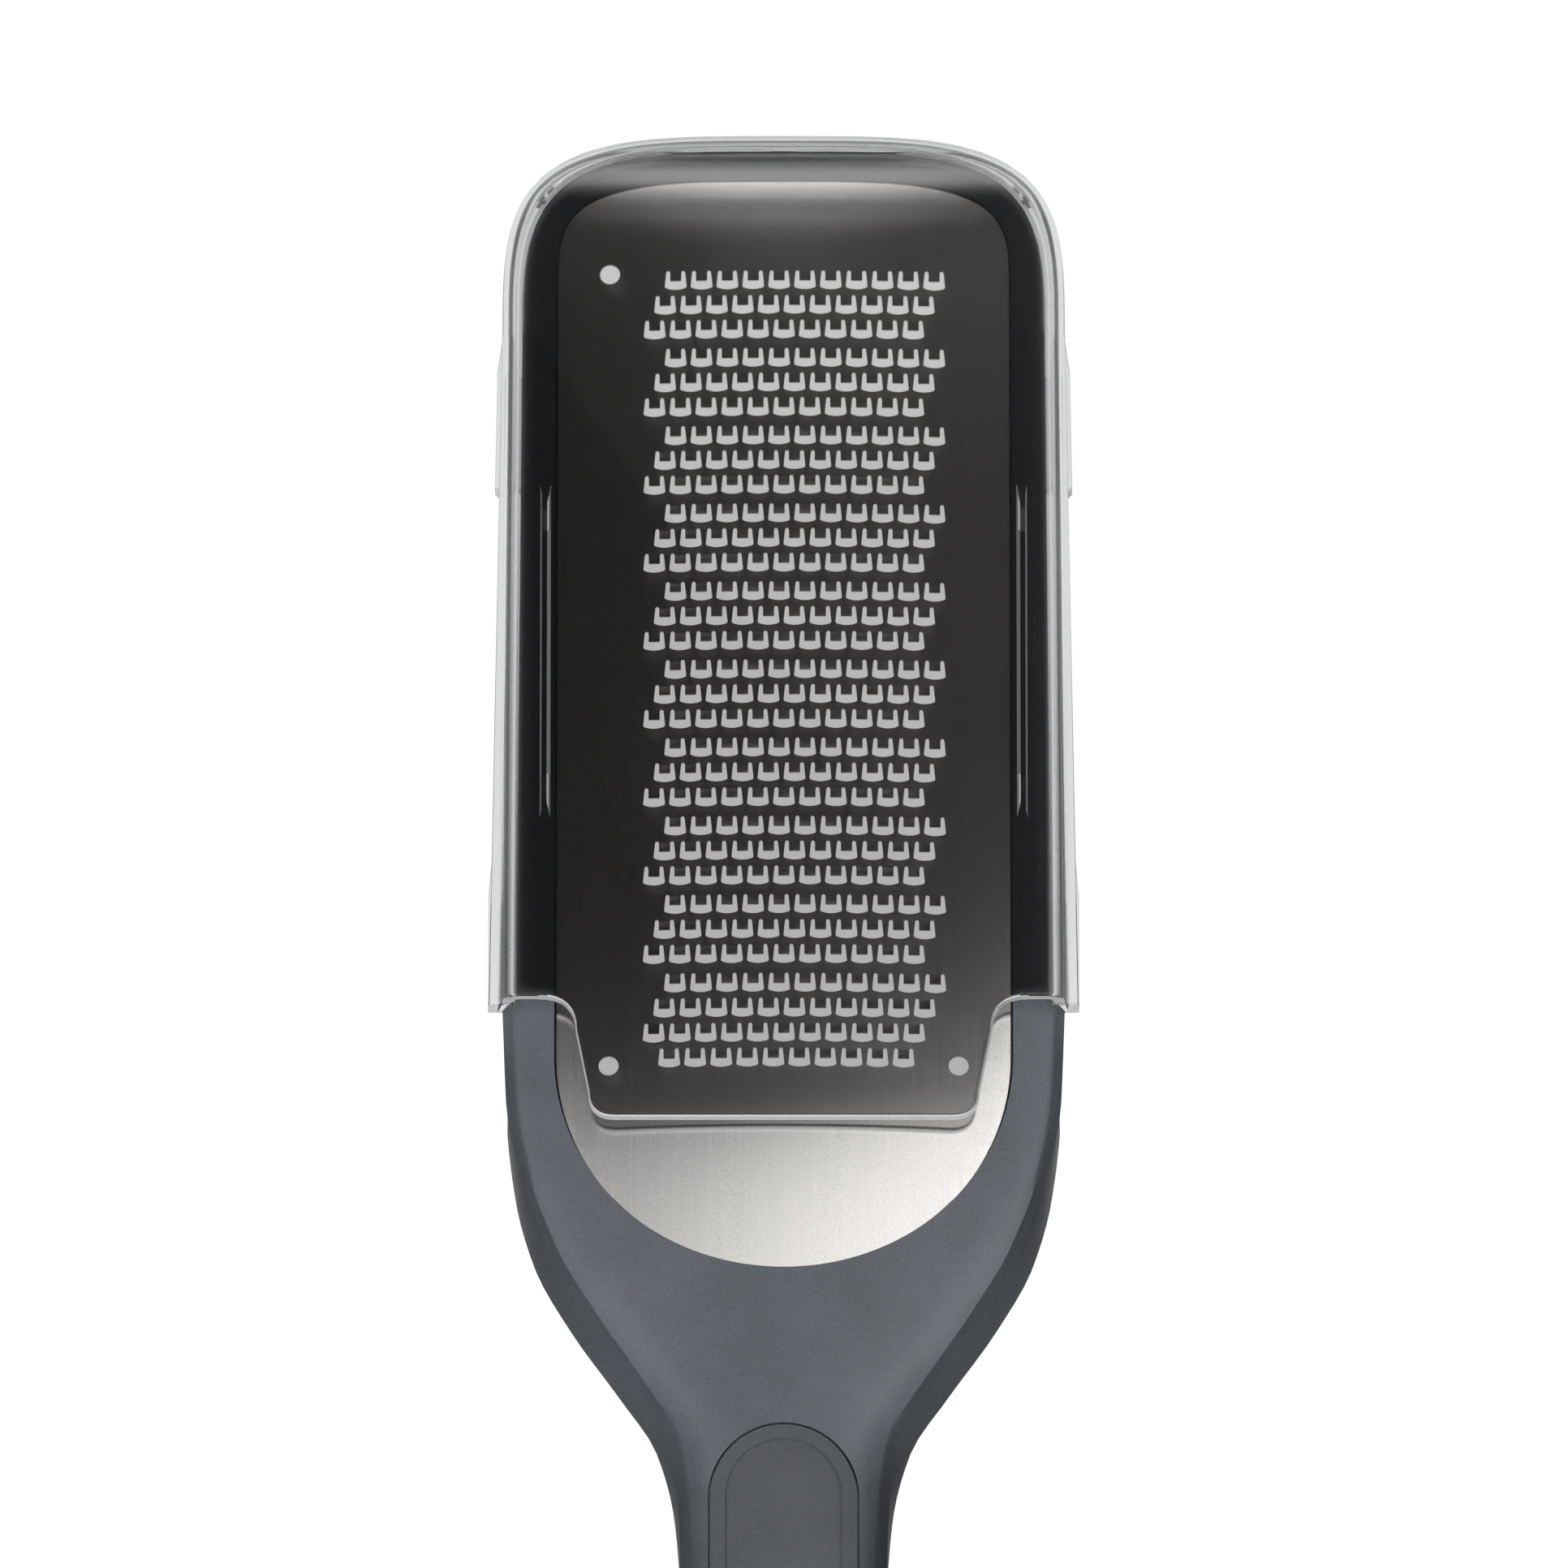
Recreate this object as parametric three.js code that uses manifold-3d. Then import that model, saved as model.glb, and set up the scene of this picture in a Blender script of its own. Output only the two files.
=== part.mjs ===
// Fine grater: an etched steel blade in a moulded frame of two shells, under a clear cover that slides off.
// Millimetres. The part lies on its flat back at z = 0: +Z is out of the grating face, +Y toward the tip.
// x = 0 is the middle of the blade, and y = 0 is halfway along the whole length.
import * as THREE from "three";
import { mergeVertices } from "three/addons/utils/BufferGeometryUtils.js";
import Module from "manifold-3d";

const wasm = await Module();
wasm.setup();

// Whole part
const LENGTH = 290; // end of the handle to the tip of the cover
const TIP_Y = LENGTH / 2;
const END_Y = -LENGTH / 2;

// Clearances
const FIT = 0.3; // between pieces that are pressed, moulded or welded together
const SLIDE_FIT = 0.35; // between the cover's walls and the frame that it slides along

// Head outline, shared by the cover and both frames: tapered sides that end in a soft square tip
const COVER_HALF_WIDTH = 39.9; // outside of the cover's walls at their open end
const HEAD_TAPER = 0.0166; // how much narrower each side gets per millimetre toward the tip
const CORNER_LENGTH = 30.4; // how far below the tip the rounded corners begin
const CORNER_POWER = 3.8; // 2 would be an ellipse, a larger power a squarer corner

// Cover
const COVER_TOP = 15.4; // height of its front face
const COVER_PLATE = 2; // thickness of the front
const COVER_WALL = 1.5; // thickness of the side walls
const COVER_SIDE_LENGTH = 125.9; // tip to the open end of the side walls
const COVER_WALL_BOTTOM = 8; // height of the walls' lower edge
const COVER_EDGE_RADIUS = 2.4; // rounding between front and walls, outside
const COVER_RAIL_TOP = 11.4; // height of the rail that the lower part of the walls forms
const COVER_RAIL_WIDTH = 0.9; // how far that rail stands out around the rounded edge above it
const COVER_EDGE_WIDENING = 0.4; // share of the walls' widening that the rounded edge follows
const TAB_LENGTH = 17.3; // finger tab beyond the open end
const TAB_ROOT_HALF_WIDTH = 28.1;
const TAB_END_HALF_WIDTH = 26.4;
const TAB_CORNER_RADIUS = 3.6;
const TAB_ROOT_RADIUS = 5; // hollow corner between tab and open end
const HOOK_REACH = 1.5; // how far each hook grips under the frame's edge
const LUG_STEP = 0.6; // length of the short slope at an upper lug's lower end
const UPPER_LUG = { fromTip: 34.6, length: 16.4, ramp: 4.9, bump: 0.6 }; // thicker wall at each upper hook
const LOWER_LUG = { length: 15.5, ramp: 5.2, bump: 0.35, endBump: 0.1 }; // the same at the open end
const RIB_LENGTH = 48.2; // two inside ribs that ride on the frame and keep the cover off the teeth
const RIB_WIDTH = 1.55;
const RIB_FROM_SHOULDER = 25.9; // open end of the walls to the ribs
const RIB_RAMP = 6.4;

// Frame, front and back shells
const FRAME_TOP = 11.8; // height of the front face beside the blade
const PARTING = 9; // height of the back shell's top, where the shells meet
const EDGE_CHAMFER = 1.9; // slope of the front shell's outer edge, seen from the front
const RING_GAP = 2.2; // from the cover's outside to the ring round the blade, where the corners begin
const RING_WIDENING = 0.5; // share of the cover's widening that the ring follows
const RING_STEP = 1.3; // length of the slope from the ring out to the wider arms, under the cover's end
const TIP_BAR = 5.1; // width of the frame between blade and tip
const TIP_DROP = 1.9; // how far the front slopes down at the tip
const TIP_DROP_LENGTH = 10;
const BACK_INSET = 2.8; // the back shell is this much narrower, which makes room for the hooks
const LEDGE = 2.3; // width of the shelf under the blade's edge
const FOOT_EDGE = 1.4; // rounding along the lower edge of the back shell's ring

// Neck and handle, with places measured from the handle's end
const WAIST_FROM_END = 83; // narrowest place of the handle
const WAIST_HALF_WIDTH = 13.9;
const GRIP_FROM_END = 47; // widest place of the grip
const GRIP_HALF_WIDTH = 15;
const GRIP_SWELL = 0.1; // extra half-width halfway between waist and grip
const END_ROUND = 17; // length of the rounded end
const WAIST_TOP = 19.6;
const GRIP_TOP = 20.8;
const CREST_SWELL = 0.3; // extra height halfway between waist and grip
const END_TOP = 19;
const SIDE_TOP = 15.6; // height where the grip's side turns into its front
const GRIP_SIDE = 2.7; // slope of the grip's side, seen from the front
const GRIP_EDGE = 6; // rounding along the grip's lower edge
// Neck from waist (0) to head (1): place along it, share of the widening, width of the side's slope, and the
// part of that slope that lies below the line where the shells meet
const NECK = [
  [0.12, 0.035, 3.4, 0.6],
  [0.24, 0.137, 4.9, 1.6],
  [0.34, 0.348, 5.8, 2.2],
  [0.456, 0.613, 6.2, 2.5],
  [0.572, 0.82, 5.6, 2.2],
  [0.687, 0.923, 3.9, 1.2],
  [0.82, 0.975, 2.4, 0],
];
const SHELL_WALL = 2.4;
const HOLLOW_HALF_WIDTH = 10.4; // hollow inside the grip
const HOLLOW_TOP = 11.8;
const HOLLOW_START_FROM_END = 103;
const HOLLOW_END_FROM_END = 29;
const POST_RADIUS = 2.5; // posts of the back shell that the front shell's sleeves are welded to
const SLEEVE_WALL = 1.6;
const POSTS_FROM_END = [87, 45];
const HANG_HALF_WIDTH = 4.5; // hanging hole
const HANG_LENGTH = 14;
const HANG_END_WALL = 6; // material between the hole and the end of the handle

// Soft inlays
const INLAY_HALF_WIDTH = 10.2;
const INLAY_FRONT_FROM_END = 102.6; // the thumb inlay's end by the neck
const INLAY_LENGTH = 70;
const THUMB_FLOOR = 14; // bottom of the thumb inlay's pocket
const DISH_DEPTH = 0.5;
const DISH_BORDER = 2;
const FINGER_DEPTH = 1.3; // depth of the pocket in the back
const FINGER_HALF_WIDTH = 6.4;
const FINGER_INSET = 6; // the finger inlay is this much shorter at each end

// Foot at the tip
const FOOT_HALF_LENGTH = 22;
const FOOT_THICKNESS = 2.2;
const FOOT_PROUD = 0.7; // how far it stands out of the back shell's tip
const FOOT_TOP = 6;

// Blade
const BLADE_HALF_WIDTH = 30.9;
const BLADE_LENGTH = 157.3;
const BLADE_TOP = 12.3; // height along the middle
const BLADE_CROWN_RADIUS = 330; // the sheet is arched across its width
const BLADE_DROP = 1; // how far the tip end bends down
const BLADE_DROP_LENGTH = 9;
const BLADE_CORNER_LENGTH = 17.5;
const BLADE_CORNER_POWER = 4;
const SHEET = 0.5; // thickness

// Teeth: rows of U-shaped slots, each leaving a tongue whose raised end cuts toward the handle
const TOOTH_GROUPS = 10;
const ROWS_PER_GROUP = 3;
const TEETH_PER_ROW = 11;
const TEETH_IN_LAST_ROW = 10;
const TOOTH_PITCH = 3.52;
const ROW_PITCH = 3.58;
const GROUP_GAP = 0.55; // extra distance between groups of rows
const ROW_SHIFT = -1.43; // sideways step from row to row of a group
const FIRST_ROW_FROM_TIP = 14.6;
const FIRST_TOOTH_X = -14.7;
const SLOT_LENGTH = 2.75;
const SLOT_HALF_WIDTH = 1.5; // at the cutting end
const SLOT_HALF_WIDTH_AT_LEGS = 1.25;
const TONGUE_HALF_WIDTH = 0.76;
const SLOT_MOUTH = 1.05; // opening in front of the tongue's end
const TOOTH_LIFT = 0.45;
const INDEX_HOLE_RADIUS = 1.36; // round holes that locate the sheet in its press
const INDEX_HOLE_X = 23.65;
const INDEX_HOLE_STEP = 1; // how far they lie beyond the first and the last row

// Smoothness of the curves
const CORNER_STEPS = 8;
const EDGE_STEPS = 4;
const ARC_STEPS = 14;
const SECTION_STEPS = 3;
const END_DEGREES = [0, 25, 45, 60, 72, 82, 87]; // round the end of the handle

// Places that follow from the sizes above
const SHOULDER_Y = TIP_Y - COVER_SIDE_LENGTH;
const CORNER_Y = TIP_Y - CORNER_LENGTH;
const WAIST_Y = END_Y + WAIST_FROM_END;
const GRIP_Y = END_Y + GRIP_FROM_END;
const POSTS_Y = POSTS_FROM_END.map((distance) => END_Y + distance);
const INLAY_FRONT_Y = END_Y + INLAY_FRONT_FROM_END;
const INLAY_BACK_Y = INLAY_FRONT_Y - INLAY_LENGTH;
const FRAME_GAP = COVER_WALL + SLIDE_FIT;
const FRAME_TIP_Y = TIP_Y - FRAME_GAP;
const FRONT_BOTTOM = PARTING + FIT;
const BLADE_TIP_Y = FRAME_TIP_Y - TIP_BAR;
const BLADE_END_Y = BLADE_TIP_Y - BLADE_LENGTH;
const FIRST_ROW_Y = BLADE_TIP_Y - FIRST_ROW_FROM_TIP;
const FAR = 100; // reach of a cutting tool that passes right through
const OVER = 2; // how far a shorter tool reaches past the face that it cuts

// Turns a closed geometry into a solid that can be cut and joined.
function toSolid(geometry) {
  const bare = geometry.clone();
  bare.deleteAttribute("normal");
  bare.deleteAttribute("uv");
  const merged = mergeVertices(bare, 1e-4);
  const vertProperties = merged.attributes.position.array;
  const triVerts = new Uint32Array(merged.index.array);
  const solid = new wasm.Manifold(new wasm.Mesh({ numProp: 3, vertProperties, triVerts }));
  if (solid.volume() > 0) return solid;
  triVerts.reverse(); // the loops ran the other way round
  return new wasm.Manifold(new wasm.Mesh({ numProp: 3, vertProperties, triVerts }));
}

// A geometry from points and triangles of point numbers.
function facets(points, triangles) {
  const geometry = new THREE.BufferGeometry().setFromPoints(points);
  geometry.setIndex(triangles.flat());
  return geometry;
}

// A closed body through loops of equally many points. A fan round the middle of its loop closes each end.
function loft(loops) {
  const count = loops[0].length;
  const points = loops.flat();
  const triangles = [];
  for (let i = 0; i + 1 < loops.length; i++) {
    for (let j = 0; j < count; j++) {
      const a = i * count + j;
      const b = i * count + ((j + 1) % count);
      triangles.push([a, b, b + count], [a, b + count, a + count]);
    }
  }
  const last = (loops.length - 1) * count;
  const firstMiddle = points.push(middle(loops[0])) - 1;
  const lastMiddle = points.push(middle(loops.at(-1))) - 1;
  for (let j = 0; j < count; j++) {
    const next = (j + 1) % count;
    triangles.push([firstMiddle, next, j], [lastMiddle, last + j, last + next]);
  }
  return toSolid(facets(points, triangles));
}

function middle(loop) {
  const sum = loop.reduce((total, p) => total.add(p), new THREE.Vector3());
  return sum.divideScalar(loop.length);
}

// A triangle of flat points, reversed if it doesn't turn the way asked for.
function turned([a, b, c], flat, turn) {
  const area = THREE.ShapeUtils.area([flat[a], flat[b], flat[c]]);
  return area * turn >= 0 ? [a, b, c] : [a, c, b];
}

// Loops at several heights, each { outline, z }, stacked into one body.
function stack(layers) {
  const loops = layers.map(({ outline, z }) => outline.map((p) => new THREE.Vector3(p.x, p.y, z)));
  return loft(loops);
}

// A plan outline or shape carried from one height to another.
function prism(outline, low, high) {
  const shape = Array.isArray(outline) ? new THREE.Shape(outline) : outline;
  const geometry = new THREE.ExtrudeGeometry(shape, {
    depth: high - low,
    bevelEnabled: false,
    curveSegments: EDGE_STEPS,
  });
  return toSolid(geometry.translate(0, 0, low));
}

function cylinder(radius, y, low, high) {
  const geometry = new THREE.CylinderGeometry(radius, radius, high - low, ARC_STEPS);
  return toSolid(geometry.rotateX(Math.PI / 2).translate(0, y, (low + high) / 2));
}

function mirrored(points) {
  return points.map((p) => new THREE.Vector2(-p.x, p.y)).reverse();
}

// The right-hand corner of a soft square, from its side (0) to its tip (1).
function corner(halfWidth, length, baseY, power, steps) {
  const points = [];
  for (let i = 0; i <= steps; i++) {
    const angle = (i / steps) * (Math.PI / 2);
    const x = halfWidth * Math.max(Math.cos(angle), 0) ** (2 / power);
    const y = baseY + length * Math.sin(angle) ** (2 / power);
    points.push(new THREE.Vector2(i === steps ? 0 : x, y));
  }
  return points;
}

// Half-width of the cover's outside at a height y below the corners.
function headHalfWidth(y) {
  return COVER_HALF_WIDTH - HEAD_TAPER * (y - SHOULDER_Y);
}

// Half-width of the frame's ring under the cover, narrower than the arms, which makes room for the walls.
function ringHalfWidth(y) {
  const flare = headHalfWidth(y) - headHalfWidth(CORNER_Y);
  return headHalfWidth(CORNER_Y) - RING_GAP + RING_WIDENING * flare;
}

// Outline of the head, moved inward, with its open lower end at endY. Its sides widen fully toward that end
// (1) or run straight (0).
function headOutline(inset, endY, widening = 1) {
  const halfWidth = headHalfWidth(CORNER_Y) - inset;
  const flare = headHalfWidth(endY) - headHalfWidth(CORNER_Y);
  const right = [new THREE.Vector2(halfWidth + widening * flare, endY)];
  right.push(...corner(halfWidth, CORNER_LENGTH - inset, CORNER_Y, CORNER_POWER, CORNER_STEPS));
  return [...right, ...mirrored(right.slice(0, -1))];
}

// Outline of the blade, moved inward: soft square at the tip, half round toward the handle.
function bladeOutline(inset) {
  const radius = BLADE_HALF_WIDTH - inset;
  const baseY = BLADE_TIP_Y - BLADE_CORNER_LENGTH;
  const centreY = BLADE_END_Y + BLADE_HALF_WIDTH;
  const right = [];
  for (let i = 0; i < ARC_STEPS; i++) {
    const angle = -(Math.PI / 2) * (1 - i / ARC_STEPS);
    right.push(new THREE.Vector2(radius * Math.cos(angle), centreY + radius * Math.sin(angle)));
  }
  right[0].x = 0;
  right.push(new THREE.Vector2(radius, centreY));
  right.push(...corner(radius, BLADE_CORNER_LENGTH - inset, baseY, BLADE_CORNER_POWER, CORNER_STEPS));
  return [...right, ...mirrored(right.slice(1, -1))];
}

// Outline with round ends along Y, as the inlays and the hanging hole have.
function roundEnded(halfWidth, lowY, highY) {
  const shape = new THREE.Shape();
  shape.absarc(0, highY - halfWidth, halfWidth, 0, Math.PI, false);
  shape.absarc(0, lowY + halfWidth, halfWidth, Math.PI, 2 * Math.PI, false);
  return shape.extractPoints(ARC_STEPS / 2).shape.slice(0, -1);
}

// Frame shells. Each station is one cross-section: its half-widths, the slope of its side and the part of it
// below the parting, the heights of side, crest and floor, and the rounding of its lower edge.

function tipStations(inset) {
  const halfWidth = ringHalfWidth(CORNER_Y) - inset;
  const length = FRAME_TIP_Y - inset - CORNER_Y;
  const points = corner(halfWidth, length, CORNER_Y, CORNER_POWER, CORNER_STEPS).reverse();
  points[0].set(points[1].x / 2, points[0].y); // the very tip is a short straight edge
  return points.map(({ x, y }) => {
    const along = Math.max(0, (y - FRAME_TIP_Y) / TIP_DROP_LENGTH + 1);
    const top = FRAME_TOP - TIP_DROP * along * along;
    return { ...headStation(y, 0), half: x, backHalf: x, side: top, crest: top };
  });
}

function headStation(y, inset) {
  const half = ringHalfWidth(y);
  return {
    y,
    half,
    backHalf: half - inset,
    slope: EDGE_CHAMFER,
    lean: 0,
    side: FRAME_TOP,
    crest: FRAME_TOP,
    edge: FOOT_EDGE,
    floor: 0,
  };
}

// The arms, where they come out of the cover's open end.
function armStation(inset) {
  return { ...headStation(SHOULDER_Y, inset), half: COVER_HALF_WIDTH - FRAME_GAP };
}

function neckStations() {
  const arm = armStation(0);
  const mix = THREE.MathUtils.lerp;
  return NECK.toReversed().map(([along, widening, slope, lean]) => {
    const half = mix(WAIST_HALF_WIDTH, arm.half, widening);
    const rise = (1 - along) ** 1.5;
    return {
      y: mix(WAIST_Y, SHOULDER_Y, along),
      half,
      backHalf: half,
      slope,
      lean,
      side: mix(FRAME_TOP, SIDE_TOP, rise),
      crest: mix(FRAME_TOP, WAIST_TOP, rise),
      edge: mix(GRIP_EDGE, FOOT_EDGE, along),
      floor: 0,
    };
  });
}

function gripStation(y, half, crest) {
  const heights = { side: SIDE_TOP, crest, edge: GRIP_EDGE, floor: 0 };
  return { y, half, backHalf: half, slope: GRIP_SIDE, lean: 0, ...heights };
}

function endStations() {
  const angles = END_DEGREES.map((degrees) => THREE.MathUtils.degToRad(degrees));
  const furthest = Math.sin(angles.at(-1));
  return angles.map((angle) => {
    const half = GRIP_HALF_WIDTH * Math.cos(angle);
    const fullness = Math.sqrt(Math.cos(angle));
    return {
      y: END_Y + END_ROUND * (1 - Math.sin(angle) / furthest),
      half,
      backHalf: half,
      slope: GRIP_SIDE * Math.cos(angle),
      lean: 0,
      side: THREE.MathUtils.lerp(FRONT_BOTTOM, SIDE_TOP, fullness),
      crest: THREE.MathUtils.lerp(FRONT_BOTTOM, END_TOP, fullness),
      edge: GRIP_EDGE * Math.cos(angle),
      floor: PARTING * (1 - fullness),
    };
  });
}

function frameStations(inset) {
  const halfway = {
    y: (WAIST_Y + GRIP_Y) / 2,
    half: (WAIST_HALF_WIDTH + GRIP_HALF_WIDTH) / 2 + GRIP_SWELL,
    crest: (WAIST_TOP + GRIP_TOP) / 2 + CREST_SWELL,
  };
  return [
    ...tipStations(inset),
    headStation(SHOULDER_Y + RING_STEP, inset),
    armStation(inset),
    ...neckStations(),
    gripStation(WAIST_Y, WAIST_HALF_WIDTH, WAIST_TOP),
    gripStation(halfway.y, halfway.half, halfway.crest),
    gripStation(GRIP_Y, GRIP_HALF_WIDTH, GRIP_TOP),
    ...endStations(),
  ];
}

// Section of the front shell: steep sides, a rounded edge and a gently arched front. Shares set its curves.
function frontSection({ y, half, slope, lean, side, crest }, lowered) {
  const mix = THREE.MathUtils.lerp;
  const inner = Math.max(half - slope, 0.4 * half);
  const bottom = new THREE.Vector2(half - lean, FRONT_BOTTOM);
  const edgeStart = new THREE.Vector2(mix(half, inner, 0.55), mix(FRONT_BOTTOM, side, 0.62));
  const edgeEnd = new THREE.Vector2(0.86 * inner, mix(side, crest, 0.28));
  const top = new THREE.Vector2(0, crest);
  const edge = new THREE.QuadraticBezierCurve(edgeStart, new THREE.Vector2(inner, side), edgeEnd);
  const front = new THREE.QuadraticBezierCurve(edgeEnd, new THREE.Vector2(inner / 2, crest), top);
  const right = [bottom, ...edge.getPoints(SECTION_STEPS), ...front.getPoints(SECTION_STEPS).slice(1)];
  const outline = [...right, ...mirrored(right.slice(0, -1))];
  return outline.map((p) => new THREE.Vector3(p.x, y, p.y - lowered));
}

// Section of the back shell: upright or leaning sides, rounded lower edges and a flat back.
function backSection({ y, backHalf, lean, edge, floor }) {
  const right = [
    new THREE.Vector2(backHalf - lean, PARTING),
    new THREE.Vector2(backHalf, floor + edge * (1 - floor / PARTING)),
    new THREE.Vector2(backHalf - 0.3 * edge, floor + 0.3 * edge * (1 - floor / PARTING)),
    new THREE.Vector2(backHalf - Math.min(edge, 0.8 * backHalf), floor),
  ];
  return [...right, ...mirrored(right)].map((p) => new THREE.Vector3(p.x, y, p.y));
}

function frontSkin(lowered = 0) {
  return loft(frameStations(0).map((station) => frontSection(station, lowered)));
}

function hangingHole() {
  const lowY = END_Y + HANG_END_WALL;
  return prism(roundEnded(HANG_HALF_WIDTH, lowY, lowY + HANG_LENGTH), -FAR, FAR);
}

function gripHollow(low, high) {
  const outline = roundEnded(HOLLOW_HALF_WIDTH, END_Y + HOLLOW_END_FROM_END, END_Y + HOLLOW_START_FROM_END);
  return prism(outline, low, high);
}

function inlayOutline(shrink) {
  return roundEnded(INLAY_HALF_WIDTH - shrink, INLAY_BACK_Y + shrink, INLAY_FRONT_Y - shrink);
}

function fingerOutline(shrink) {
  const lowY = INLAY_BACK_Y + FINGER_INSET + shrink;
  return roundEnded(FINGER_HALF_WIDTH - shrink, lowY, INLAY_FRONT_Y - FINGER_INSET - shrink);
}

// A strip that follows the tip between two insets of the back shell's outline.
function tipStrip(outerInset, innerInset, halfLength, low, high) {
  const outline = (inset) => headOutline(FRAME_GAP + BACK_INSET + inset, SHOULDER_Y);
  const span = [
    new THREE.Vector2(-halfLength, CORNER_Y),
    new THREE.Vector2(halfLength, CORNER_Y),
    new THREE.Vector2(halfLength, TIP_Y),
    new THREE.Vector2(-halfLength, TIP_Y),
  ];
  return prism(outline(outerInset), low, high)
    .subtract(prism(outline(innerInset), low - OVER, high + OVER))
    .intersect(prism(span, low - OVER, high + OVER));
}

function makeFrontFrame() {
  let frame = frontSkin()
    .subtract(prism(bladeOutline(-FIT), -FAR, FAR))
    .subtract(prism(inlayOutline(0), THUMB_FLOOR, FAR))
    .subtract(gripHollow(-FAR, HOLLOW_TOP))
    .subtract(hangingHole());
  const socketRadius = POST_RADIUS + FIT;
  const sleeveTop = (HOLLOW_TOP + THUMB_FLOOR) / 2;
  for (const y of POSTS_Y) {
    const sleeve = cylinder(socketRadius + SLEEVE_WALL, y, FRONT_BOTTOM, sleeveTop);
    const socket = cylinder(socketRadius, y, 0, HOLLOW_TOP);
    frame = frame.add(sleeve).subtract(socket);
  }
  return frame;
}

function makeBackFrame() {
  const skin = loft(frameStations(BACK_INSET).map(backSection));
  let frame = skin
    .subtract(prism(bladeOutline(LEDGE), -FAR, FAR))
    .subtract(gripHollow(SHELL_WALL + FINGER_DEPTH, FAR))
    .subtract(prism(fingerOutline(0), -FAR, FINGER_DEPTH))
    .subtract(tipStrip(-FOOT_THICKNESS, FOOT_THICKNESS - FOOT_PROUD, FOOT_HALF_LENGTH, -OVER, FOOT_TOP))
    .subtract(hangingHole());
  for (const y of POSTS_Y) {
    frame = frame.add(cylinder(POST_RADIUS, y, FINGER_DEPTH + SHELL_WALL / 2, HOLLOW_TOP - FIT));
  }
  return frame;
}

// The thumb inlay fills its pocket up to the handle's own surface and is dished inside a raised border.
function makeThumbInlay() {
  const plug = prism(inlayOutline(FIT), THUMB_FLOOR + FIT, FAR).intersect(frontSkin());
  const dish = prism(inlayOutline(FIT + DISH_BORDER), THUMB_FLOOR, FAR).subtract(frontSkin(DISH_DEPTH));
  return plug.subtract(dish);
}

function makeFingerInlay() {
  return prism(fingerOutline(FIT), 0, FINGER_DEPTH - FIT);
}

function makeTipFoot() {
  const inside = FOOT_THICKNESS - FOOT_PROUD - FIT;
  return tipStrip(-FOOT_PROUD, inside, FOOT_HALF_LENGTH - FIT, 0, FOOT_TOP - FIT);
}

// Body with the cover's rounded front edge, used for its outside and for its hollow. The lower part of its
// walls stands out like a rail, which gets wider toward the open end.
function coverBody(inset, top, low, radius, endY) {
  const rail = headOutline(inset, endY);
  const layers = [
    { outline: rail, z: low },
    { outline: rail, z: COVER_RAIL_TOP },
  ];
  for (let i = 0; i <= EDGE_STEPS; i++) {
    const angle = (i / EDGE_STEPS) * (Math.PI / 2);
    const edgeInset = inset + COVER_RAIL_WIDTH + radius * (1 - Math.cos(angle));
    const outline = headOutline(edgeInset, endY, COVER_EDGE_WIDENING);
    layers.push({ outline, z: top - radius + radius * Math.sin(angle) });
  }
  return stack(layers);
}

// Everything of the cover's plan that is kept: the head above the shoulders, and the finger tab.
function coverPlan() {
  const endY = SHOULDER_Y - TAB_LENGTH;
  const wide = COVER_HALF_WIDTH + OVER;
  const root = TAB_ROOT_HALF_WIDTH;
  const side = new THREE.Path();
  side.moveTo(TAB_END_HALF_WIDTH - TAB_CORNER_RADIUS, endY);
  side.quadraticCurveTo(TAB_END_HALF_WIDTH, endY, TAB_END_HALF_WIDTH, endY + TAB_CORNER_RADIUS);
  side.lineTo(root, SHOULDER_Y - TAB_ROOT_RADIUS);
  side.quadraticCurveTo(root, SHOULDER_Y, root + TAB_ROOT_RADIUS, SHOULDER_Y);
  side.lineTo(wide, SHOULDER_Y);
  side.lineTo(wide, TIP_Y + OVER);
  const right = side.getPoints(EDGE_STEPS);
  return prism([...right, ...mirrored(right)], -FAR, FAR);
}

// A block along one side wall, from an inner half-width out to the wall plus a bump at each given y.
function alongWall(side, innerHalf, bumps, low, high) {
  const outer = bumps.map(([y, bump]) => new THREE.Vector2(side * (headHalfWidth(y) + bump), y));
  const inner = bumps.map(([y]) => new THREE.Vector2(side * innerHalf(y), y));
  return prism([...outer, ...inner.reverse()], low, high);
}

// Ribs inside the front, sloped at both ends, that ride on the frame's face.
function spacerRib(side) {
  const x = BLADE_HALF_WIDTH + 2 * FIT;
  const lowY = SHOULDER_Y + RIB_FROM_SHOULDER;
  const highY = lowY + RIB_LENGTH;
  const ceiling = COVER_TOP - COVER_PLATE;
  const profile = [
    new THREE.Vector2(lowY, ceiling + COVER_PLATE / 2),
    new THREE.Vector2(lowY, ceiling),
    new THREE.Vector2(lowY + RIB_RAMP, FRAME_TOP + FIT),
    new THREE.Vector2(highY - RIB_RAMP, FRAME_TOP + FIT),
    new THREE.Vector2(highY, ceiling),
    new THREE.Vector2(highY, ceiling + COVER_PLATE / 2),
  ];
  const faces = [side * x, side * (x + RIB_WIDTH)];
  return loft(faces.map((place) => profile.map((p) => new THREE.Vector3(place, p.x, p.y))));
}

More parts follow.
